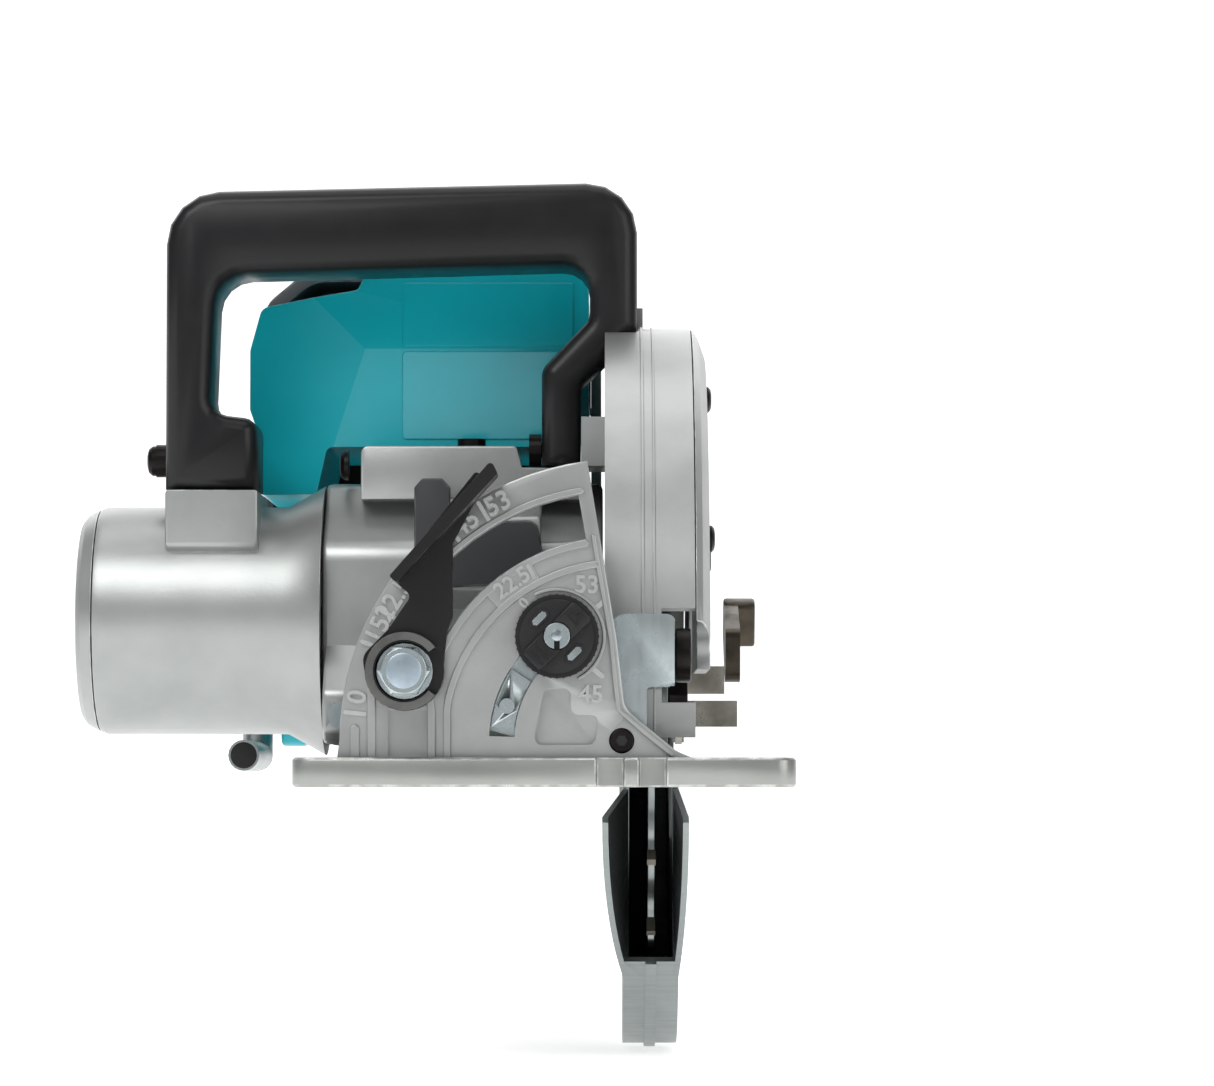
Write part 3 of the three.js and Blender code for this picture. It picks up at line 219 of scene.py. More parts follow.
def moulded(name, colour, tone, roughness, grain, depth_mm=0.05, coat=0.0, shine=0.5):
    plastic = Finish(name, Specular_IOR_Level=shine, Coat_Weight=coat, Coat_Roughness=0.12)
    drift = plastic.between(plastic.noise(22, 3.0), 0.3, 0.75)
    colour_here = plastic.colours(drift, linear(colour), linear(tone))
    wear = worn_edges(plastic, 0.25)
    plastic.set("Base Color", plastic.colours(wear, colour_here, linear("#8A8D8E")))
    rub = plastic.noise(150, 4.0)
    plastic.set("Roughness", roughness + 0.14 * rub)
    plastic.bump(plastic.noise(grain, 2.0), 0.3, depth_mm)
    return plastic.material


# %% Mix one finish for each surface
finishes = {
    "cast_silver": cast_paint("silver paint on casting", "#A9ABA9", "#9B9E9C", 0.3),
    "plate_silver": cast_paint("silver paint on pressed base", "#A3A5A1", "#979995", 0.26),
    "zinc": plated("bright zinc plate", "#BFC8C9", "#A3AEB1", 0.16),
    "nickel": plated("nickel plate", "#B3AFA4", "#8F8B80", 0.2),
    "steel": ground_steel("ground steel", "#989E9D", "#7C8281", 0.22, (1, 1, 0.06)),
    "guard_steel": ground_steel("satin guard steel", "#9AA09F", "#868C8B", 0.26, (0.05, 1, 1)),
    "black_steel": plated("black oxide steel", "#2A2827", "#1E1D1C", 0.3),
    "lever_steel": moulded(
        "black coated lever", "#100F0F", "#171615", 0.34, 2600, 0.04, 0.0, 0.3),
    "lever_brown": plated("dark coated lever", "#4E483F", "#3A352F", 0.3),
    "black_plastic": moulded(
        "black handle plastic", "#121213", "#18181A", 0.3, 2400, 0.02, 0.05, 0.28),
    "knob_plastic": moulded(
        "black knob plastic", "#151516", "#1C1C1D", 0.4, 1800, 0.06, 0.0, 0.32),
    "grey_plastic": moulded(
        "dark grey plastic", "#38393B", "#313234", 0.42, 2000, 0.06, 0.0, 0.35),
    "teal": moulded("teal housing plastic", "#08BAC8", "#00AEBC", 0.27, 2200, 0.025, 0.15),
    # This black finish serves the real rubber parts and also the dark strips and disc that are
    # painted shade in vents, slits and a socket.
    "rubber": moulded("black rubber", "#151515", "#1B1B1B", 0.68, 1500, 0.12),
    "copper": plated("varnished copper", "#9A5B32", "#7E4826", 0.35),
    "zinc_face": plated("turned zinc face", "#AEBBC4", "#98A6B0", 0.3),
    "claw_steel": plated("worn claw steel", "#787876", "#605F5E", 0.3),
    # The raised figures get a brighter silver than the casting round them: a painted highlight.
    "figures_painted_highlight": plated("raised figures with painted highlight", "#D6D8D5", "#B9BCB9", 0.22),
    "carbide": plated("carbide tip", "#6E6A62", "#5A564F", 0.35),
    "teal_gloss": moulded("glossy teal panel", "#22BBC9", "#14B0C0", 0.16, 2200, 0.01, 0.4),
    "battery_plastic": moulded("ribbed battery plastic", "#19191A", "#202021", 0.5, 1600, 0.08),
}
print("finishes:", ", ".join(finishes))

# %% [markdown]
# ## Carrying a design part over with its edges broken
# A real casting or pressing never has a razor edge. The design's solids do, so each
# visible part is copied, its loose triangles are welded and flat areas cleaned, and a
# bevel rounds what is sharper than a set angle. The bevel's own faces are marked, so
# that a finish can rub the paint thin there. The copy stands for the design's node. Edges
# could be cut by hand, but a bevel treats every part alike and leaves its faces in place.

# %% Helpers for pieces
SHARP_ANGLE = 32.0
SMOOTH_ANGLE = 38.0
FLAT_ANGLE = 0.8
WELD_MM = 0.02


def attach(piece, body, slot, *nodes):
    """Puts a finished piece on its body and hides the design nodes it stands for. The slot is not
    used.
    """
    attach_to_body(piece, body)
    if nodes:
        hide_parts(*nodes)


def link(name, mesh):
    piece = bpy.data.objects.new(name, mesh)
    bpy.context.scene.collection.objects.link(piece)
    return piece


def baked(piece):
    """The piece with its modifiers turned into plain mesh."""
    bpy.context.view_layer.update()
    graph = bpy.context.evaluated_depsgraph_get()
    mesh = bpy.data.meshes.new_from_object(piece.evaluated_get(graph))
    name = piece.name
    bpy.data.objects.remove(piece)
    return link(name, mesh)


def mark_worn(mesh):
    """Turns the bevel's second material index into a face attribute for the finishes."""
    worn = mesh.attributes.new("worn", "FLOAT", "FACE")
    for face in mesh.polygons:
        worn.data[face.index].value = float(face.material_index == 1)
        face.material_index = 0


# %% Round and mark the edges
def soften(piece, width_mm, angle=SHARP_ANGLE, smooth=SMOOTH_ANGLE):
    """Rounds the sharp edges of a piece and shades the rest smoothly."""
    mesh = piece.data
    mesh.shade_smooth()
    mesh.set_sharp_from_angle(angle=math.radians(smooth))
    if width_mm > 0:
        bevel = piece.modifiers.new("edges", "BEVEL")
        bevel.width = width_mm * MM
        bevel.segments = 2
        bevel.limit_method = "ANGLE"
        bevel.angle_limit = math.radians(angle)
        bevel.use_clamp_overlap = True
        bevel.material = 1
        bevel.harden_normals = True
    mesh.materials.append(None)
    piece = baked(piece)
    mark_worn(piece.data)
    return piece


def paint(piece, finish):
    piece.data.materials.clear()
    piece.data.materials.append(finishes[finish])


# %% Carry one part over
def refined(node, finish, width_mm, smooth=SMOOTH_ANGLE, blank=None):
    """A welded and edge-softened copy of a design part, trimmed to a blank if one is given."""
    mesh = frame["nodes"][node].data.copy()
    shape = bmesh.new()
    shape.from_mesh(mesh)
    bmesh.ops.remove_doubles(shape, verts=shape.verts, dist=WELD_MM * MM)
    bmesh.ops.dissolve_limit(
        shape, angle_limit=math.radians(FLAT_ANGLE), verts=shape.verts, edges=shape.edges)
    shape.to_mesh(mesh)
    shape.free()
    mesh.materials.clear()
    mesh.materials.append(None)
    piece = link("skin_" + node, mesh)
    if blank:
        trim = piece.modifiers.new("trim", "BOOLEAN")
        trim.operation = "INTERSECT"
        trim.object = blank
        piece = baked(piece)
        bpy.data.objects.remove(blank)
    piece = soften(piece, width_mm, smooth=smooth)
    paint(piece, finish)
    attach(piece, body_of_node[node], record_slots[node], node)
    print(piece.name, len(piece.data.polygons), "faces")
    return piece


# %% Carry the parts over
parts = {
    "base_plate": ("plate_silver", 0.5),
    "front_bevel_bracket": ("cast_silver", 0.2),
    "rear_bevel_bracket": ("cast_silver", 0.35),
    "front_angular_plate": ("zinc", 0.3),
    "rear_angular_plate": ("zinc", 0.3),
    "bevel_stop_plate": ("zinc", 0.0),
    "depth_guide": ("steel", 0.2),
    "gear_housing": ("cast_silver", 0.5),
    "motor_housing": ("cast_silver", 0.15),
    "motor_end_cap": ("cast_silver", 0.3),
    "blade_case": ("cast_silver", 0.5),
    "blade_case_outer_plate": ("cast_silver", 0.4),
    "lower_guard": ("guard_steel", 0.2),
    "guard_lever_bracket": ("nickel", 0.25),
    "guard_lever": ("lever_brown", 0.4),
    "blade": ("steel", 0.0),
    "inner_flange": ("steel", 0.25),
    "outer_flange": ("steel", 0.3),
    "blade_bolt": ("black_steel", 0.4),
    "bevel_lock_lever": ("lever_steel", 0.3),
    "lock_bolt_washer": ("zinc", 0.15),
    "rear_wing_nut": ("zinc", 0.4),
    "rear_lock_bolt": ("zinc", 0.3),
    "front_pivot_pin": ("black_steel", 0.3),
    "rear_pivot_pin": ("black_steel", 0.3),
    "depth_pivot_pin": ("black_steel", 0.5),
    "depth_clamp_bolt": ("zinc", 0.2),
    "depth_lock_lever": ("knob_plastic", 0.5),
    "shaft_lock_lever": ("grey_plastic", 0.3),
    "rafter_hook": ("steel", 0.3),
    "hook_pivot": ("teal", 0.3),
    "controller_housing_rear": ("grey_plastic", 0.5),
    "battery_pack": ("black_plastic", 0.5),
    "battery_button": ("grey_plastic", 0.3),
    "trigger": ("black_plastic", 0.3),
    "lock_off_button": ("rubber", 0.5),
    "stop_knob_clip": ("zinc", 0.15),
    "bevel_stop_knob": ("knob_plastic", 0.25),
    "controller_housing_front": ("teal", 0.5),
}
skins = {node: refined(node, *choice) for node, choice in parts.items()}
refined("front_handle", "black_plastic", 0.0, smooth=60.0)
for node in ("rear_handle_left", "rear_handle_right"):
    skins[node] = refined(node, "teal", 0.0, smooth=60.0)

# %% [markdown]
# ## Parts that keep the design's own mesh
# The stator, rotor, gears and bearings sit inside closed housings, and the screws are
# small. Their shapes are already right, and a bevel would only add faces that nobody
# sees, so only their finish is set.

# %% Paint the parts that stay
kept = {
    "stator": "copper", "rotor": "copper", "cooling_fan": "black_plastic",
    "motor_bearing_left": "steel", "motor_bearing_right": "steel",
    "bearing_retainer": "cast_silver", "spindle": "steel", "driven_gear": "steel",
    "spindle_bearing": "steel",
    "controller_module": "grey_plastic", "switch_body": "grey_plastic",
    "zero_stop_screw": "zinc", "housing_screw": "black_steel",
    "handle_screw_left": "black_steel", "handle_screw_right": "black_steel",
}
for node, finish in kept.items():
    data = frame["nodes"][node].data
    data.materials.clear()
    data.materials.append(finishes[finish])
print("painted in place:", len(kept))

# %% [markdown]
# ## Small shapes of our own
# Scales, ribs and screw recesses are too fine for the design file, so they're built
# here. Each begins as a flat outline pulled along an axis, or a profile turned about
# one, and most get their edges rounded like the design's parts. They could be sculpted,
# but an outline in millimetres can be checked against the part that it sits on.

# %% Helpers for small shapes
PLANES = {"x": (1, 2, 0), "y": (0, 2, 1), "z": (0, 1, 2)}


def placed(axis, u, v, along):
    """A point from its two coordinates across an axis and its place along it, in mm."""
    place = [0.0, 0.0, 0.0]
    for index, number in zip(PLANES[axis], (u, v, along)):
        place[index] = number * MM
    return Vector(place)


def to_piece(name, shape):
    bmesh.ops.recalc_face_normals(shape, faces=shape.faces)
    mesh = bpy.data.meshes.new(name)
    shape.to_mesh(mesh)
    shape.free()
    return link(name, mesh)


def prism(name, axis, corners, low, high):
    """A closed outline of (u, v) corners pulled from low to high along an axis."""
    shape = bmesh.new()
    ends = [[shape.verts.new(placed(axis, u, v, along)) for u, v in corners]
            for along in (low, high)]
    for end in ends:
        shape.faces.new(end)
    for i in range(len(corners)):
        k = (i + 1) % len(corners)
        shape.faces.new((ends[0][i], ends[0][k], ends[1][k], ends[1][i]))
    return to_piece(name, shape)


def turned(name, axis, u, v, profile, sides=40):
    """A profile of (along, radius) points turned about an axis, closed at both ends."""
    shape = bmesh.new()
    rings = []
    for along, radius in profile:
        turns = [2 * math.pi * i / sides for i in range(sides)]
        rings.append([shape.verts.new(placed(
            axis, u + radius * math.cos(t), v + radius * math.sin(t), along)) for t in turns])
    for first, second in zip(rings, rings[1:]):
        for i in range(sides):
            k = (i + 1) % sides
            shape.faces.new((first[i], first[k], second[k], second[i]))
    shape.faces.new(rings[0])
    shape.faces.new(rings[-1])
    return to_piece(name, shape)


# %% Arcs, strips and joining
def arc(u, v, radius, start, end, steps=24):
    """Points on a circle; angles in degrees, anticlockwise from +u."""
    turns = [math.radians(start + (end - start) * i / steps) for i in range(steps + 1)]
    return [(u + radius * math.cos(t), v + radius * math.sin(t)) for t in turns]


def band(path, width):
    """The closed outline of a strip that follows a path with rounded ends."""
    points = [Vector(p) for p in path]
    left, right = [], []
    for i, here in enumerate(points):
        before = points[max(i - 1, 0)]
        after = points[min(i + 1, len(points) - 1)]
        across = (after - before).normalized().orthogonal() * width / 2
        left.append(tuple(here + across))
        right.append(tuple(here - across))
    tip = (points[-1] - points[-2]).normalized() * width * 0.35
    tail = (points[0] - points[1]).normalized() * width * 0.35
    return (left + [tuple(points[-1] + tip)] + right[::-1] + [tuple(points[0] + tail)])


def joined(name, pieces):
    """Several pieces made into one mesh."""
    shape = bmesh.new()
    for piece in pieces:
        shape.from_mesh(piece.data)
        bpy.data.objects.remove(piece)
    mesh = bpy.data.meshes.new(name)
    shape.to_mesh(mesh)
    shape.free()
    return link(name, mesh)


# %% Raised figures and finished details
def lettering(text, size_mm, u, v, turn, face, rise):
    """Raised figures on a face that looks towards -Y."""
    curve = bpy.data.curves.new("figures", "FONT")
    curve.body = text
    curve.size = size_mm * 1.4 * MM
    curve.extrude = rise / 2 * MM
    curve.offset = 0.12 * MM
    curve.resolution_u = 3
    curve.align_x, curve.align_y = "CENTER", "CENTER"
    holder = bpy.data.objects.new("figures", curve)
    bpy.context.scene.collection.objects.link(holder)
    piece = baked(holder)
    stand = Matrix.Rotation(math.radians(-turn), 4, "Y") @ Matrix.Rotation(math.pi / 2, 4, "X")
    place = Vector((u, face - rise / 2 + 0.1, v)) * MM
    piece.data.transform(Matrix.Translation(place) @ stand)
    shape = bmesh.new()
    shape.from_mesh(piece.data)
    bmesh.ops.remove_doubles(shape, verts=shape.verts, dist=0.01 * MM)
    shape.to_mesh(piece.data)
    shape.free()
    return piece


def detail(piece, finish, body, slot, width_mm=0.25, angle=SHARP_ANGLE):
    """Softens, paints and places a piece of our own."""
    piece = soften(piece, width_mm, angle, 40.0)
    paint(piece, finish)
    attach(piece, body, slot)
    print(piece.name, len(piece.data.polygons), "faces")


# %% [markdown]
# ## One node tree for everything that repeats
# Vent slots, ribs, knurls and cutting tips are all copies of one small shape, each a
# step further along or turned a step further round. This tree takes the shape, a
# count, a step and a turn; the copies are then turned into plain mesh. A loop could do
# the same, but one tree keeps the rule in one place, with its numbers as plain inputs.

# %% Build the repeating tree
def repeating_tree():
    tree = bpy.data.node_groups.new("repeat_shape", "GeometryNodeTree")
    inputs = {}
    for name, kind in (("Shape", "Geometry"), ("Count", "Int"), ("Step", "Vector"),
                       ("Turn", "Vector"), ("Finish", "Material")):
        socket = tree.interface.new_socket(name, in_out="INPUT", socket_type="NodeSocket" + kind)
        inputs[name] = socket.identifier
    tree.interface.new_socket("Shape", in_out="OUTPUT", socket_type="NodeSocketGeometry")
    nodes, links = tree.nodes, tree.links
    source = nodes.new("NodeGroupInput")
    result = nodes.new("NodeGroupOutput")
    points = nodes.new("GeometryNodePoints")
    index = nodes.new("GeometryNodeInputIndex")
    copies = nodes.new("GeometryNodeInstanceOnPoints")
    real = nodes.new("GeometryNodeRealizeInstances")
    coat = nodes.new("GeometryNodeSetMaterial")
    links.new(source.outputs["Count"], points.inputs["Count"])
    for name, target in (("Step", points.inputs["Position"]), ("Turn", copies.inputs["Rotation"])):
        product = nodes.new("ShaderNodeVectorMath")
        product.operation = "SCALE"
        links.new(source.outputs[name], product.inputs[0])
        links.new(index.outputs[0], product.inputs["Scale"])
        links.new(product.outputs[0], target)
    links.new(points.outputs[0], copies.inputs["Points"])
    links.new(source.outputs["Shape"], copies.inputs["Instance"])
    links.new(copies.outputs[0], real.inputs[0])
    links.new(real.outputs[0], coat.inputs["Geometry"])
    links.new(source.outputs["Finish"], coat.inputs["Material"])
    links.new(coat.outputs[0], result.inputs[0])
    return tree, inputs


repeat_tree, repeat_inputs = repeating_tree()


# %% Use the tree
def repeated(piece, finish, body, slot, count,
             step_mm=(0, 0, 0), turn=(0, 0, 0), pivot_mm=(0, 0, 0)):
    """Copies a shape count times, each a step along and a turn about the pivot further."""
    pivot = Vector(pivot_mm) * MM
    piece.data.transform(Matrix.Translation(-pivot))
    modifier = piece.modifiers.new("repeat", "NODES")
    modifier.node_group = repeat_tree
    modifier[repeat_inputs["Count"]] = count
    modifier[repeat_inputs["Step"]] = [number * MM for number in step_mm]
    modifier[repeat_inputs["Turn"]] = [math.radians(number) for number in turn]
    modifier[repeat_inputs["Finish"]] = finishes[finish]
    piece = baked(piece)
    piece.data.transform(Matrix.Translation(pivot))
    piece.data.shade_smooth()
    piece.data.set_sharp_from_angle(angle=math.radians(35))
    attach(piece, body, slot)
    print(piece.name, count, "copies")


# %% [markdown]
# ## The bevel bracket's scale and ribs
# The casting in front carries two raised scales around the tilt axis. Each figure
# stands a little further round than its tick, and reads along the arc. Below the
# scales, ribs run down to the foot. Figures could be drawn by a material, but raised
# ones catch the light as cast ones do. Their silver is painted brighter than the
# casting's, a painted highlight that makes them stand out.

# %% Scales on the front bracket
TILT = (-8.0, 12.0)
FACE = -4.0
KNOB = (-24.7, 38.9)
TICK_LEAD = 5.9
FIGURE_LEAD = 9.4


def on_scale(radius, angle):
    """A point around the tilt axis; the angle is its height above level on the left."""
    turn = math.radians(180 - angle)
    return (TILT[0] + radius * math.cos(turn), TILT[1] + radius * math.sin(turn))


marks = []
for value in ("0", "15", "22.5", "45", "53"):
    angle = float(value) + FIGURE_LEAD
    marks.append(lettering(value, 5.0, *on_scale(69.2, angle), 90 - angle, FACE, 0.9))
    tick = [on_scale(radius, float(value) + TICK_LEAD) for radius in (66.6, 72.0)]
    marks.append(prism("tick", "y", band(tick, 1.1), FACE - 0.6, FACE + 0.1))
marks.append(lettering("22.5", 4.2, *on_scale(49.6, 55.2), 34.8, FACE - 0.9, 0.8))
inner_tick = [on_scale(radius, 61.8) for radius in (47.8, 51.4)]
marks.append(prism("tick", "y", band(inner_tick, 1.0), FACE - 1.4, FACE - 0.8))
for value, size_mm, place, turn in (
        ("53", 4.6, (-17.0, 52.2), 0),
        ("45", 4.6, (-15.9, 23.8), 0),
        ("0", 3.0, (-33.2, 47.5), 45),
):
    marks.append(lettering(value, size_mm, *place, turn, FACE, 0.8))
for place, turn in (((-13.8, 47.0), 40), ((-14.2, 29.6), -40)):
    across = Vector((math.cos(math.radians(turn)), math.sin(math.radians(turn)))) * 1.7
    ends = [tuple(Vector(place) - across), tuple(Vector(place) + across)]
    marks.append(prism("tick", "y", band(ends, 1.3), FACE - 0.5, FACE + 0.1))
# The raised figures and ticks take the brighter silver, a painted highlight.
detail(joined("bracket_scale", marks), "figures_painted_highlight", "base", "cast_silver", 0.1, 40)

# %% Ribs, pad and foot lip
ribs = [
    band([(-57.2, 5.5)] + [(-57.2, z) for z in (12, 20)] + arc(*TILT, 51.9, 165, 100), 2.0),
    band([(-53.2, 5.5)] + [(-53.2, z) for z in (12, 20)] + arc(*TILT, 46.1, 166, 98), 1.9),
    band(arc(*TILT, 65.5, 169, 99), 1.7),
    band([(-72.7, 6.0), (-72.7, 26.0)], 2.2),
    band([(-77.0, 6.0), (-77.0, 15.5)], 2.4),
    band([(-15.3, 65.0), (-10.8, 38.2), (-8.8, 20.0), (-2.4, 14.4), (5.2, 8.2)], 1.2),
    band(arc(*KNOB, 12.2, 118, -62, 30), 1.0),
]
detail(joined("bracket_ribs", [prism("rib", "y", rib, FACE - 1.0, FACE + 0.2) for rib in ribs]),
       "cast_silver", "base", "cast_silver", 0.45, 28)
pad = arc(*TILT, 51.6, 133, 117, 8) + arc(*TILT, 46.4, 117, 133, 8)
detail(prism("bracket_scale_pad", "y", pad, FACE - 0.9, FACE + 0.2), "cast_silver", "base",
       "cast_silver", 0.3)
detail(prism("bracket_foot_lip", "y", [(-80.6, 3.9), (12.6, 3.9), (12.6, 5.4), (-80.6, 5.4)],
             FACE - 1.3, FACE + 0.2), "cast_silver", "base", "cast_silver", 0.4)

# %% [markdown]
# ## The lock bolt and the stop knob
# A hexagon head is a six-sided bar whose corners are turned off in a lathe, which
# leaves a round face. A Boolean of the design's bolt and a turned blank gives just that.
# The knob has a knurled rim, two sunk slots, a raised pointer and ridges round its pin.

# %% Bolt head and claw
LOCK = on_scale(58.8, 17.7)
bolt_profile = [(-14.2, 5.6), (-12.5, 7.4), (-8.4, 7.4), (-8.4, 4.1), (12.0, 4.1)]
refined("bevel_lock_bolt", "zinc", 0.25, blank=turned("blank", "y", *LOCK, bolt_profile))
detail(turned("lock_bolt_face", "y", *LOCK, [(-14.35, 4.2), (-14.2, 4.6), (-13.9, 4.6)]),
       "zinc_face", "carriage", "zinc", 0.0)
claw = arc(*LOCK, 10.1, 38, 322, 40) + arc(*LOCK, 8.0, 322, 38, 40)
detail(prism("lever_claw_face", "y", claw, -10.15, -9.8), "claw_steel", "bevel_lever",
       "black_steel", 0.12)

# %% The knob's marks, slots and knurls
KNOB_FACE = -9.1
SLOT_OUT = 6.4
BAR_TURN = math.sqrt(0.5)


def on_knob(along, across):
    """A point on the knob, measured along and across its raised bar."""
    return (KNOB[0] + (along - across) * BAR_TURN, KNOB[1] + (along + across) * BAR_TURN)


pointer = [(-18.3, 45.6), (-21.6, 43.9), (-19.7, 41.6), (-18.3, 45.6)]
lines = [band(pair, 0.45) for pair in zip(pointer, pointer[1:])]
lines += [band(arc(*KNOB, radius, 225 - spread, 225 + spread, 12), 0.6)
          for radius, spread in ((5.0, 34), (6.6, 25), (8.2, 20))]
detail(joined("knob_marks", [prism("line", "y", line, -11.2, -10.8) for line in lines]),
       "knob_plastic", "stop_knob", "black_plastic", 0.1)


def knob_slots(name, reach, width, front, back):
    """Two rounded bars along the knob's raised bar, one on each side of it."""
    bars = [band([on_knob(-reach, side * SLOT_OUT), on_knob(reach, side * SLOT_OUT)], width)
            for side in (-1, 1)]
    return joined(name, [prism("bar", "y", bar, front, back) for bar in bars])


detail(knob_slots("knob_slot_lips", 2.2, 3.0, KNOB_FACE - 0.35, KNOB_FACE + 0.3),
       "knob_plastic", "stop_knob", "black_plastic", 0.2)
detail(knob_slots("knob_slots", 1.7, 1.7, KNOB_FACE - 0.42, KNOB_FACE),
       "zinc", "stop_knob", "zinc", 0.05)
detail(turned("knob_pin_end", "y", *KNOB, [(-11.75, 0.5), (-11.6, 1.3), (-11.0, 1.5)]), "zinc",
       "stop_knob", "zinc", 0.0)
# The pin's hexagon socket is not sunk: a thin dark disc stands for it, painted shade.
detail(turned("pivot_pin_socket_shade", "y", *TILT, [(-5.06, 1.5), (-4.9, 1.5)], 6), "rubber", "base",
       "black_steel", 0.0)
knurl = [(KNOB[0] + out, KNOB[1] + up)
         for out, up in ((10.5, -0.3), (10.98, -0.12), (10.98, 0.12), (10.5, 0.3))]
repeated(prism("knob_knurls", "y", knurl, -7.7, -4.5), "knob_plastic", "stop_knob",
         "black_plastic", 40, turn=(0, 9, 0), pivot_mm=(KNOB[0], 0, KNOB[1]))

# %% [markdown]
# ## The teal housing
# Two thin panels, the lower one glossy, follow the leaning facets of the housing, so a
# transform by height does the leaning. Cutting vents through the closed housing would
# show its inside, so thin dark strips stand for them: painted shade where the open
# vents would look dark. The repeating tree copies the strips and the rings of screws.

# %% Housing panels
CREASE = 125
LEAN_ABOVE = 0.28
LEAN_BELOW = 0.093


def lean(piece):
    """Slides points back along Y the further they are above or below the crease."""
    for vertex in piece.data.vertices:
        over = vertex.co.z / MM - CREASE
        vertex.co.y += MM * (LEAN_ABOVE * over if over > 0 else -LEAN_BELOW * over)
    return piece


def rounded(u0, v0, u1, v1, radius):
    """A rectangle with rounded corners, as an outline."""
    return (arc(u1 - radius, v1 - radius, radius, 0, 90, 5)
            + arc(u0 + radius, v1 - radius, radius, 90, 180, 5)
            + arc(u0 + radius, v0 + radius, radius, 180, 270, 5)
            + arc(u1 - radius, v0 + radius, radius, 270, 360, 5))


low_panel = rounded(-70.3, 99.2, -19.4, 124.2, 1.0)
detail(lean(prism("housing_low_panel", "y", low_panel, 131.1, 131.9)), "teal_gloss", "saw_body",
       "teal")
high_panel = rounded(-70.3, 125.8, -21.5, 144.5, 1.0)
detail(lean(prism("housing_high_panel", "y", high_panel, 131.15, 131.9)), "teal", "saw_body",
       "teal")


# %% Screws and vents
def pan_screw(name, u, v, seat, way, radius=4.2, height=2.6):
    """A domed screw head with a six-sided socket, standing on seat and facing way along X."""
    dome = turned(name, "x", u, v, [
        (seat, radius), (seat + way * height * 0.45, radius),
        (seat + way * height * 0.85, radius * 0.8), (seat + way * height, radius * 0.45)], 28)
    cutter = turned("socket", "x", u, v, [(seat + way * height * 0.35, radius * 0.36),
                                          (seat + way * (height + 1), radius * 0.36)], 6)
    boolean = dome.modifiers.new("socket", "BOOLEAN")
    boolean.operation = "DIFFERENCE"
    boolean.object = cutter
    dome = baked(dome)
    bpy.data.objects.remove(cutter)
    return dome


ARBOR = (117, 25.5)
MOTOR = (123.6, 46.9)
for name, *place in (("block_screw", 111, 90.3, -84.5, -1),
                     ("foot_screw_cover", 111, 91.5, -138.6, -1)):
    detail(pan_screw(name, *place), "black_steel", "saw_body", "black_steel", 0.15)
case_screw = pan_screw("case_screws", ARBOR[0] + 78, ARBOR[1] + 38, 15.5, 1, 3.6, 1.6)
repeated(case_screw, "black_steel", "saw_body", "black_steel", 4, turn=(42, 0, 0),
         pivot_mm=(0, *ARBOR))
cap_screw = pan_screw("motor_cap_screws", MOTOR[0] + 23, MOTOR[1], -159.7, -1, 2.8, 0.3)
repeated(cap_screw, "black_steel", "saw_body", "black_steel", 3, turn=(120, 0, 0),
         pivot_mm=(0, *MOTOR))
# The cap's vents are not cut: thin dark strips stand for them, painted shade.
cap_slot = band([(MOTOR[0] + 9, MOTOR[1]), (MOTOR[0] + 19, MOTOR[1])], 2.2)
repeated(prism("motor_cap_vent_shade", "x", cap_slot, -160.0, -159.6), "rubber", "saw_body",
         "black_plastic", 18, turn=(20, 0, 0), pivot_mm=(0, *MOTOR))
# Thin dark strips in the black rubber finish: painted shade standing for the open vents.
for name, x in (("left_vent_shade", -116.25), ("right_vent_shade", -19.75)):
    slot = prism(name, "x", band([(230, 92), (250, 92)], 2.6), x - 0.25, x + 0.25)
    repeated(slot, "rubber", "saw_body", "black_plastic", 8, step_mm=(0, 0, 6))
# More thin dark strips, painted shade for the front vent openings.
for name, x in (("front_left_vent_shade", -114.75), ("front_right_vent_shade", -16.85)):
    slot = prism(name, "x", band([(150, 112), (150, 122)], 2.4), x - 0.2, x + 0.2)
    repeated(slot, "rubber", "saw_body", "black_plastic", 9, step_mm=(0, 7, 0))

# %% [markdown]
# ## Blade, case and depth guide
# The blade's tips are small blocks brazed on in front of each tooth. They are all alike,
# so the tree turns one about the arbor, and the guide's ticks about the depth pivot. The
# case is two castings, so thin raised seams run round it.

# %% Blade tips, case seams and the guide's scale
def on_arbor(radius, angle):
    """A point round the blade's axis, in degrees up from the rear."""
    turn = math.radians(angle)
    return (ARBOR[0] + radius * math.cos(turn), ARBOR[1] + radius * math.sin(turn))


tip = [on_arbor(92.45, 0.1), on_arbor(92.45, -1.0), on_arbor(87.6, -1.2), on_arbor(87.6, -0.2)]
repeated(prism("blade_tips", "x", tip, -1.15, 1.15), "carbide", "blade_drive", "steel", 24,
         turn=(15, 0, 0), pivot_mm=(0, *ARBOR))
# The expansion slits are not cut: thin dark strips stand for them, painted shade where the blade
# is open.
slit = band([on_arbor(84.6, 10.6), on_arbor(76, 11.4), on_arbor(70, 9.5), on_arbor(68, 6)], 0.9)
repeated(prism("blade_slit_shade", "x", slit, -0.83, 0.83), "rubber", "blade_drive", "black_steel", 4,
         turn=(90, 0, 0), pivot_mm=(0, *ARBOR))
seams = []
for x0, x1 in ((-2.7, -1.9), (0.4, 1.0)):
    outline = arc(*ARBOR, 103.95, -6, 186, 72) + arc(*ARBOR, 103.2, 186, -6, 72)
    seams.append(prism("seam", "x", outline, x0, x1))
detail(joined("case_seams", seams), "cast_silver", "saw_body", "cast_silver", 0.15)
detail(prism("case_side_tab", "x", rounded(96, 60, 122, 70, 2), 15.4, 17.2), "grey_plastic",
       "saw_body", "grey_plastic", 0.4)
DEPTH_PIVOT = (15, 34.5)
guide_tick = band([(DEPTH_PIVOT[0] + out, DEPTH_PIVOT[1]) for out in (184, 190)], 0.7)
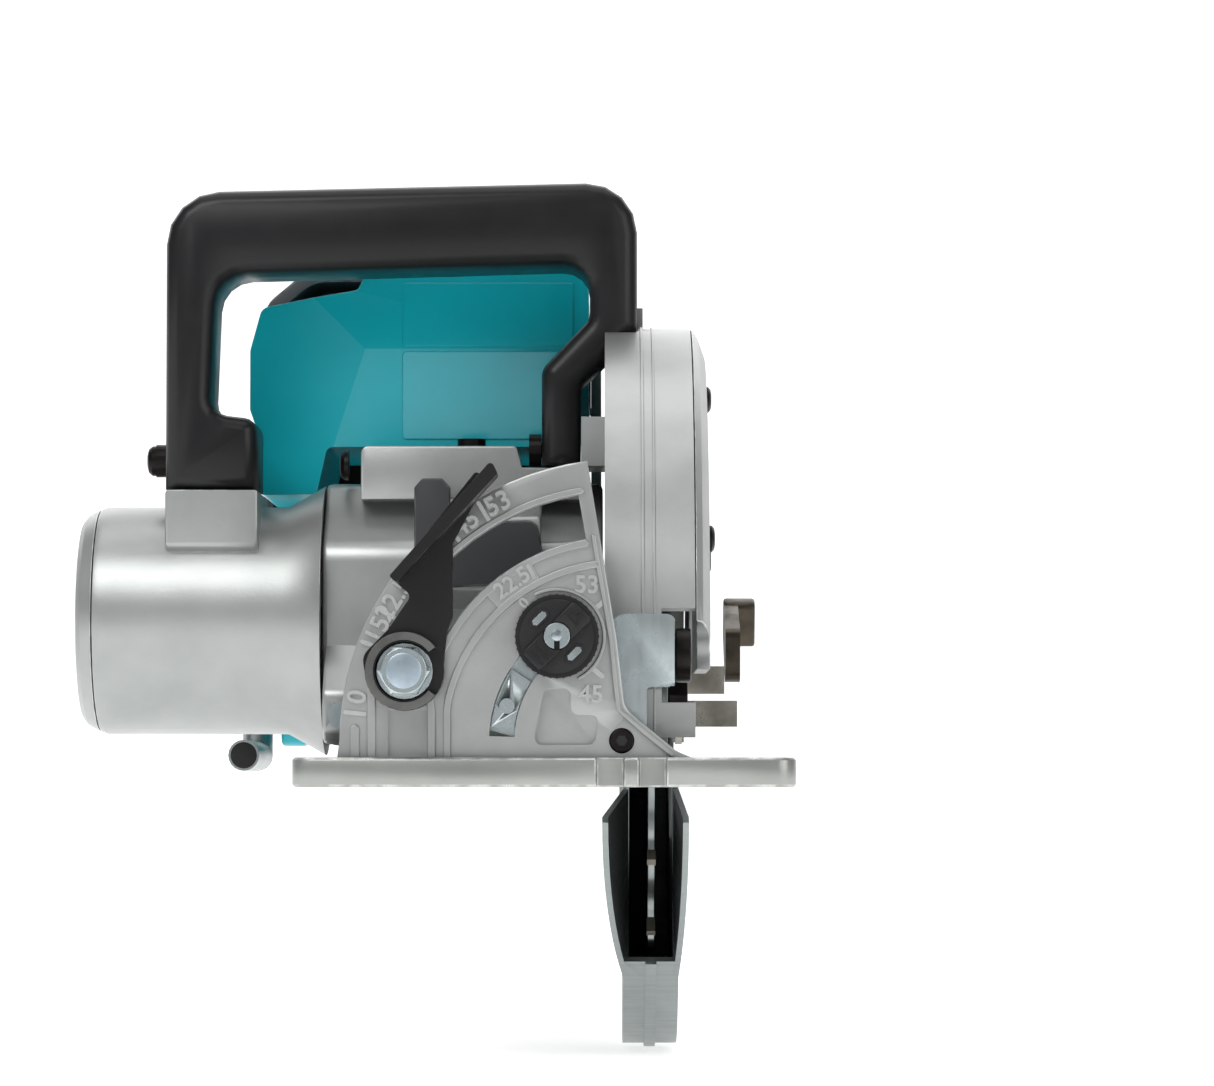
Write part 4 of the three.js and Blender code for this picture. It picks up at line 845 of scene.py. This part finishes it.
repeated(prism("guide_scale", "x", guide_tick, -16.7, -16.4), "rubber", "carriage", "black_steel",
         9, turn=(4, 0, 0), pivot_mm=(0, *DEPTH_PIVOT))

# %% [markdown]
# ## Handles, battery and hook
# Soft rubber covers the back of the rear handle, a little proud of the plastic. Its skin
# is the handle's own surface, cut by two planes and thickened, so that it follows the
# handle everywhere. Ribs run down the battery's sides.

# %% Battery ribs and hook plug
for name, x in (("battery_ribs_left", -96.2), ("battery_ribs_right", -21.8)):
    rib = prism(name, "x", band([(284, 20), (284, 33)], 2.4), x - 0.4, x + 0.4)
    repeated(rib, "battery_plastic", "battery", "black_plastic", 11, step_mm=(0, 7.5, 0))
detail(turned("hook_plug", "y", -119.5, 9, [(188.6, 3.3), (188.75, 3.9), (189.4, 3.9)]), "rubber",
       "hook", "rubber", 0.0)
rib = prism("battery_button_ribs", "x", band([(377.1, 57), (377.1, 65)], 0.9), -69, -68.2)
repeated(rib, "grey_plastic", "battery_release", "grey_plastic", 12, step_mm=(2.1, 0, 0))


# %% Grip rubber
def pressed(piece, back):
    """Moves every point behind the plane Y = back onto that plane."""
    for vertex in piece.data.vertices:
        vertex.co.y = min(vertex.co.y, back)


def wrapped(node, name, planes, grow_mm):
    """A thin rubber skin over what the planes leave of a design node's surface."""
    mesh = frame["nodes"][node].data.copy()
    shape = bmesh.new()
    shape.from_mesh(mesh)
    bmesh.ops.remove_doubles(shape, verts=shape.verts, dist=WELD_MM * MM)
    for place, normal in planes:
        bmesh.ops.bisect_plane(
            shape, geom=shape.verts[:] + shape.edges[:] + shape.faces[:],
            plane_co=Vector(place) * MM, plane_no=normal, clear_outer=True)
    mesh.materials.clear()
    shape.to_mesh(mesh)
    shape.free()
    piece = link(name, mesh)
    shell = piece.modifiers.new("shell", "SOLIDIFY")
    shell.thickness = grow_mm * MM
    shell.offset = 1.0
    piece = baked(piece)
    rearmost = cad_box[1][1]
    pressed(piece, rearmost)
    pressed(skins[node], rearmost - 0.15 * MM)
    piece.data.shade_smooth()
    piece.data.set_sharp_from_angle(angle=math.radians(50))
    paint(piece, "rubber")
    attach(piece, body_of_node[node], "rubber")
    print(piece.name, len(piece.data.polygons), "faces")


for side in ("left", "right"):
    wrapped("rear_handle_" + side, "grip_rubber_" + side,
            [((0, 332, 0), (0, -1, 0)), ((0, 0, 104), (0, 0, -1))], 0.5)

# %% [markdown]
# ## Camera, light and floor
# The saw is seen from the front with a long lens held level with its sole and tipped up
# a little, so that its far end hardly shrinks. Big soft lights and a pale sweep of floor and
# wall give the even, shadow-free light of a product picture.

# %% A helper for soft lights
low, high = (Vector(corner) for corner in cad_box)


def area_light(name, place, target, size, watts):
    data = bpy.data.lights.new(name, "AREA")
    data.shape = "RECTANGLE"
    data.size, data.size_y = size
    data.energy = watts
    light = bpy.data.objects.new(name, data)
    bpy.context.scene.collection.objects.link(light)
    light.location = place
    light.rotation_euler = (Vector(target) - Vector(place)).to_track_quat("-Z", "Y").to_euler()


# %% Floor, lights and camera
def sweep(name, width, front, back, height, bend, floor_z):
    """A floor that curves up into a back wall, as a roll of studio paper does."""
    steps = 14
    profile = [(front, floor_z), (back - bend, floor_z)]
    for i in range(1, steps + 1):
        turn = math.pi / 2 * i / steps
        out, up = bend * math.sin(turn), bend * (1 - math.cos(turn))
        profile.append((back - bend + out, floor_z + up))
    profile.append((back, floor_z + height))
    mesh = bpy.data.meshes.new(name)
    places = [(side * width / 2, y, z) for y, z in profile for side in (-1, 1)]
    faces = [(2 * i, 2 * i + 1, 2 * i + 3, 2 * i + 2) for i in range(len(profile) - 1)]
    mesh.from_pydata(places, [], faces)
    mesh.shade_smooth()
    piece = link(name, mesh)
    paper = Finish("white paper", Roughness=0.9, Emission_Strength=0.62)
    paper.set("Emission Color", (1.0, 1.0, 1.0, 1.0))
    grey, white = (0.86, 0.86, 0.86, 1), (0.9, 0.9, 0.9, 1)
    paper.set("Base Color", paper.colours(paper.noise(6, 2.0), grey, white))
    mesh.materials.append(paper.material)


sweep("paper_sweep", 9.0, -2.6, 3.4, 4.0, 1.2, low.z - 0.0008)
centre = (low + high) / 2
area_light("key", (-0.9, -1.3, 1.5), centre, (1.4, 1.0), 24)
area_light("fill", (1.3, -1.2, 0.7), centre, (1.2, 1.2), 10)
area_light("top", (0.0, 0.3, 1.7), centre, (1.6, 1.4), 12)
area_light("back", (0.0, 1.6, 1.1), centre, (2.2, 1.4), 8)

world = bpy.data.worlds.new("studio")
bpy.context.scene.world = world
world.use_nodes = True
world.node_tree.nodes["Background"].inputs["Color"].default_value = (0.95, 0.97, 1.0, 1)
world.node_tree.nodes["Background"].inputs["Strength"].default_value = 0.27

lens = bpy.data.cameras.new("camera")
lens.sensor_width = 36.0
lens.lens = 149.9
lens.clip_end = 50.0
camera = bpy.data.objects.new("camera", lens)
bpy.context.scene.collection.objects.link(camera)
camera.location = (-11.8 * MM, -1311 * MM, 3.1 * MM)
camera.rotation_euler = (math.radians(92.63), 0.0, 0.0)
bpy.context.scene.camera = camera
bpy.context.scene.view_settings.view_transform = "Standard"
print("camera at", tuple(round(v, 4) for v in camera.location))
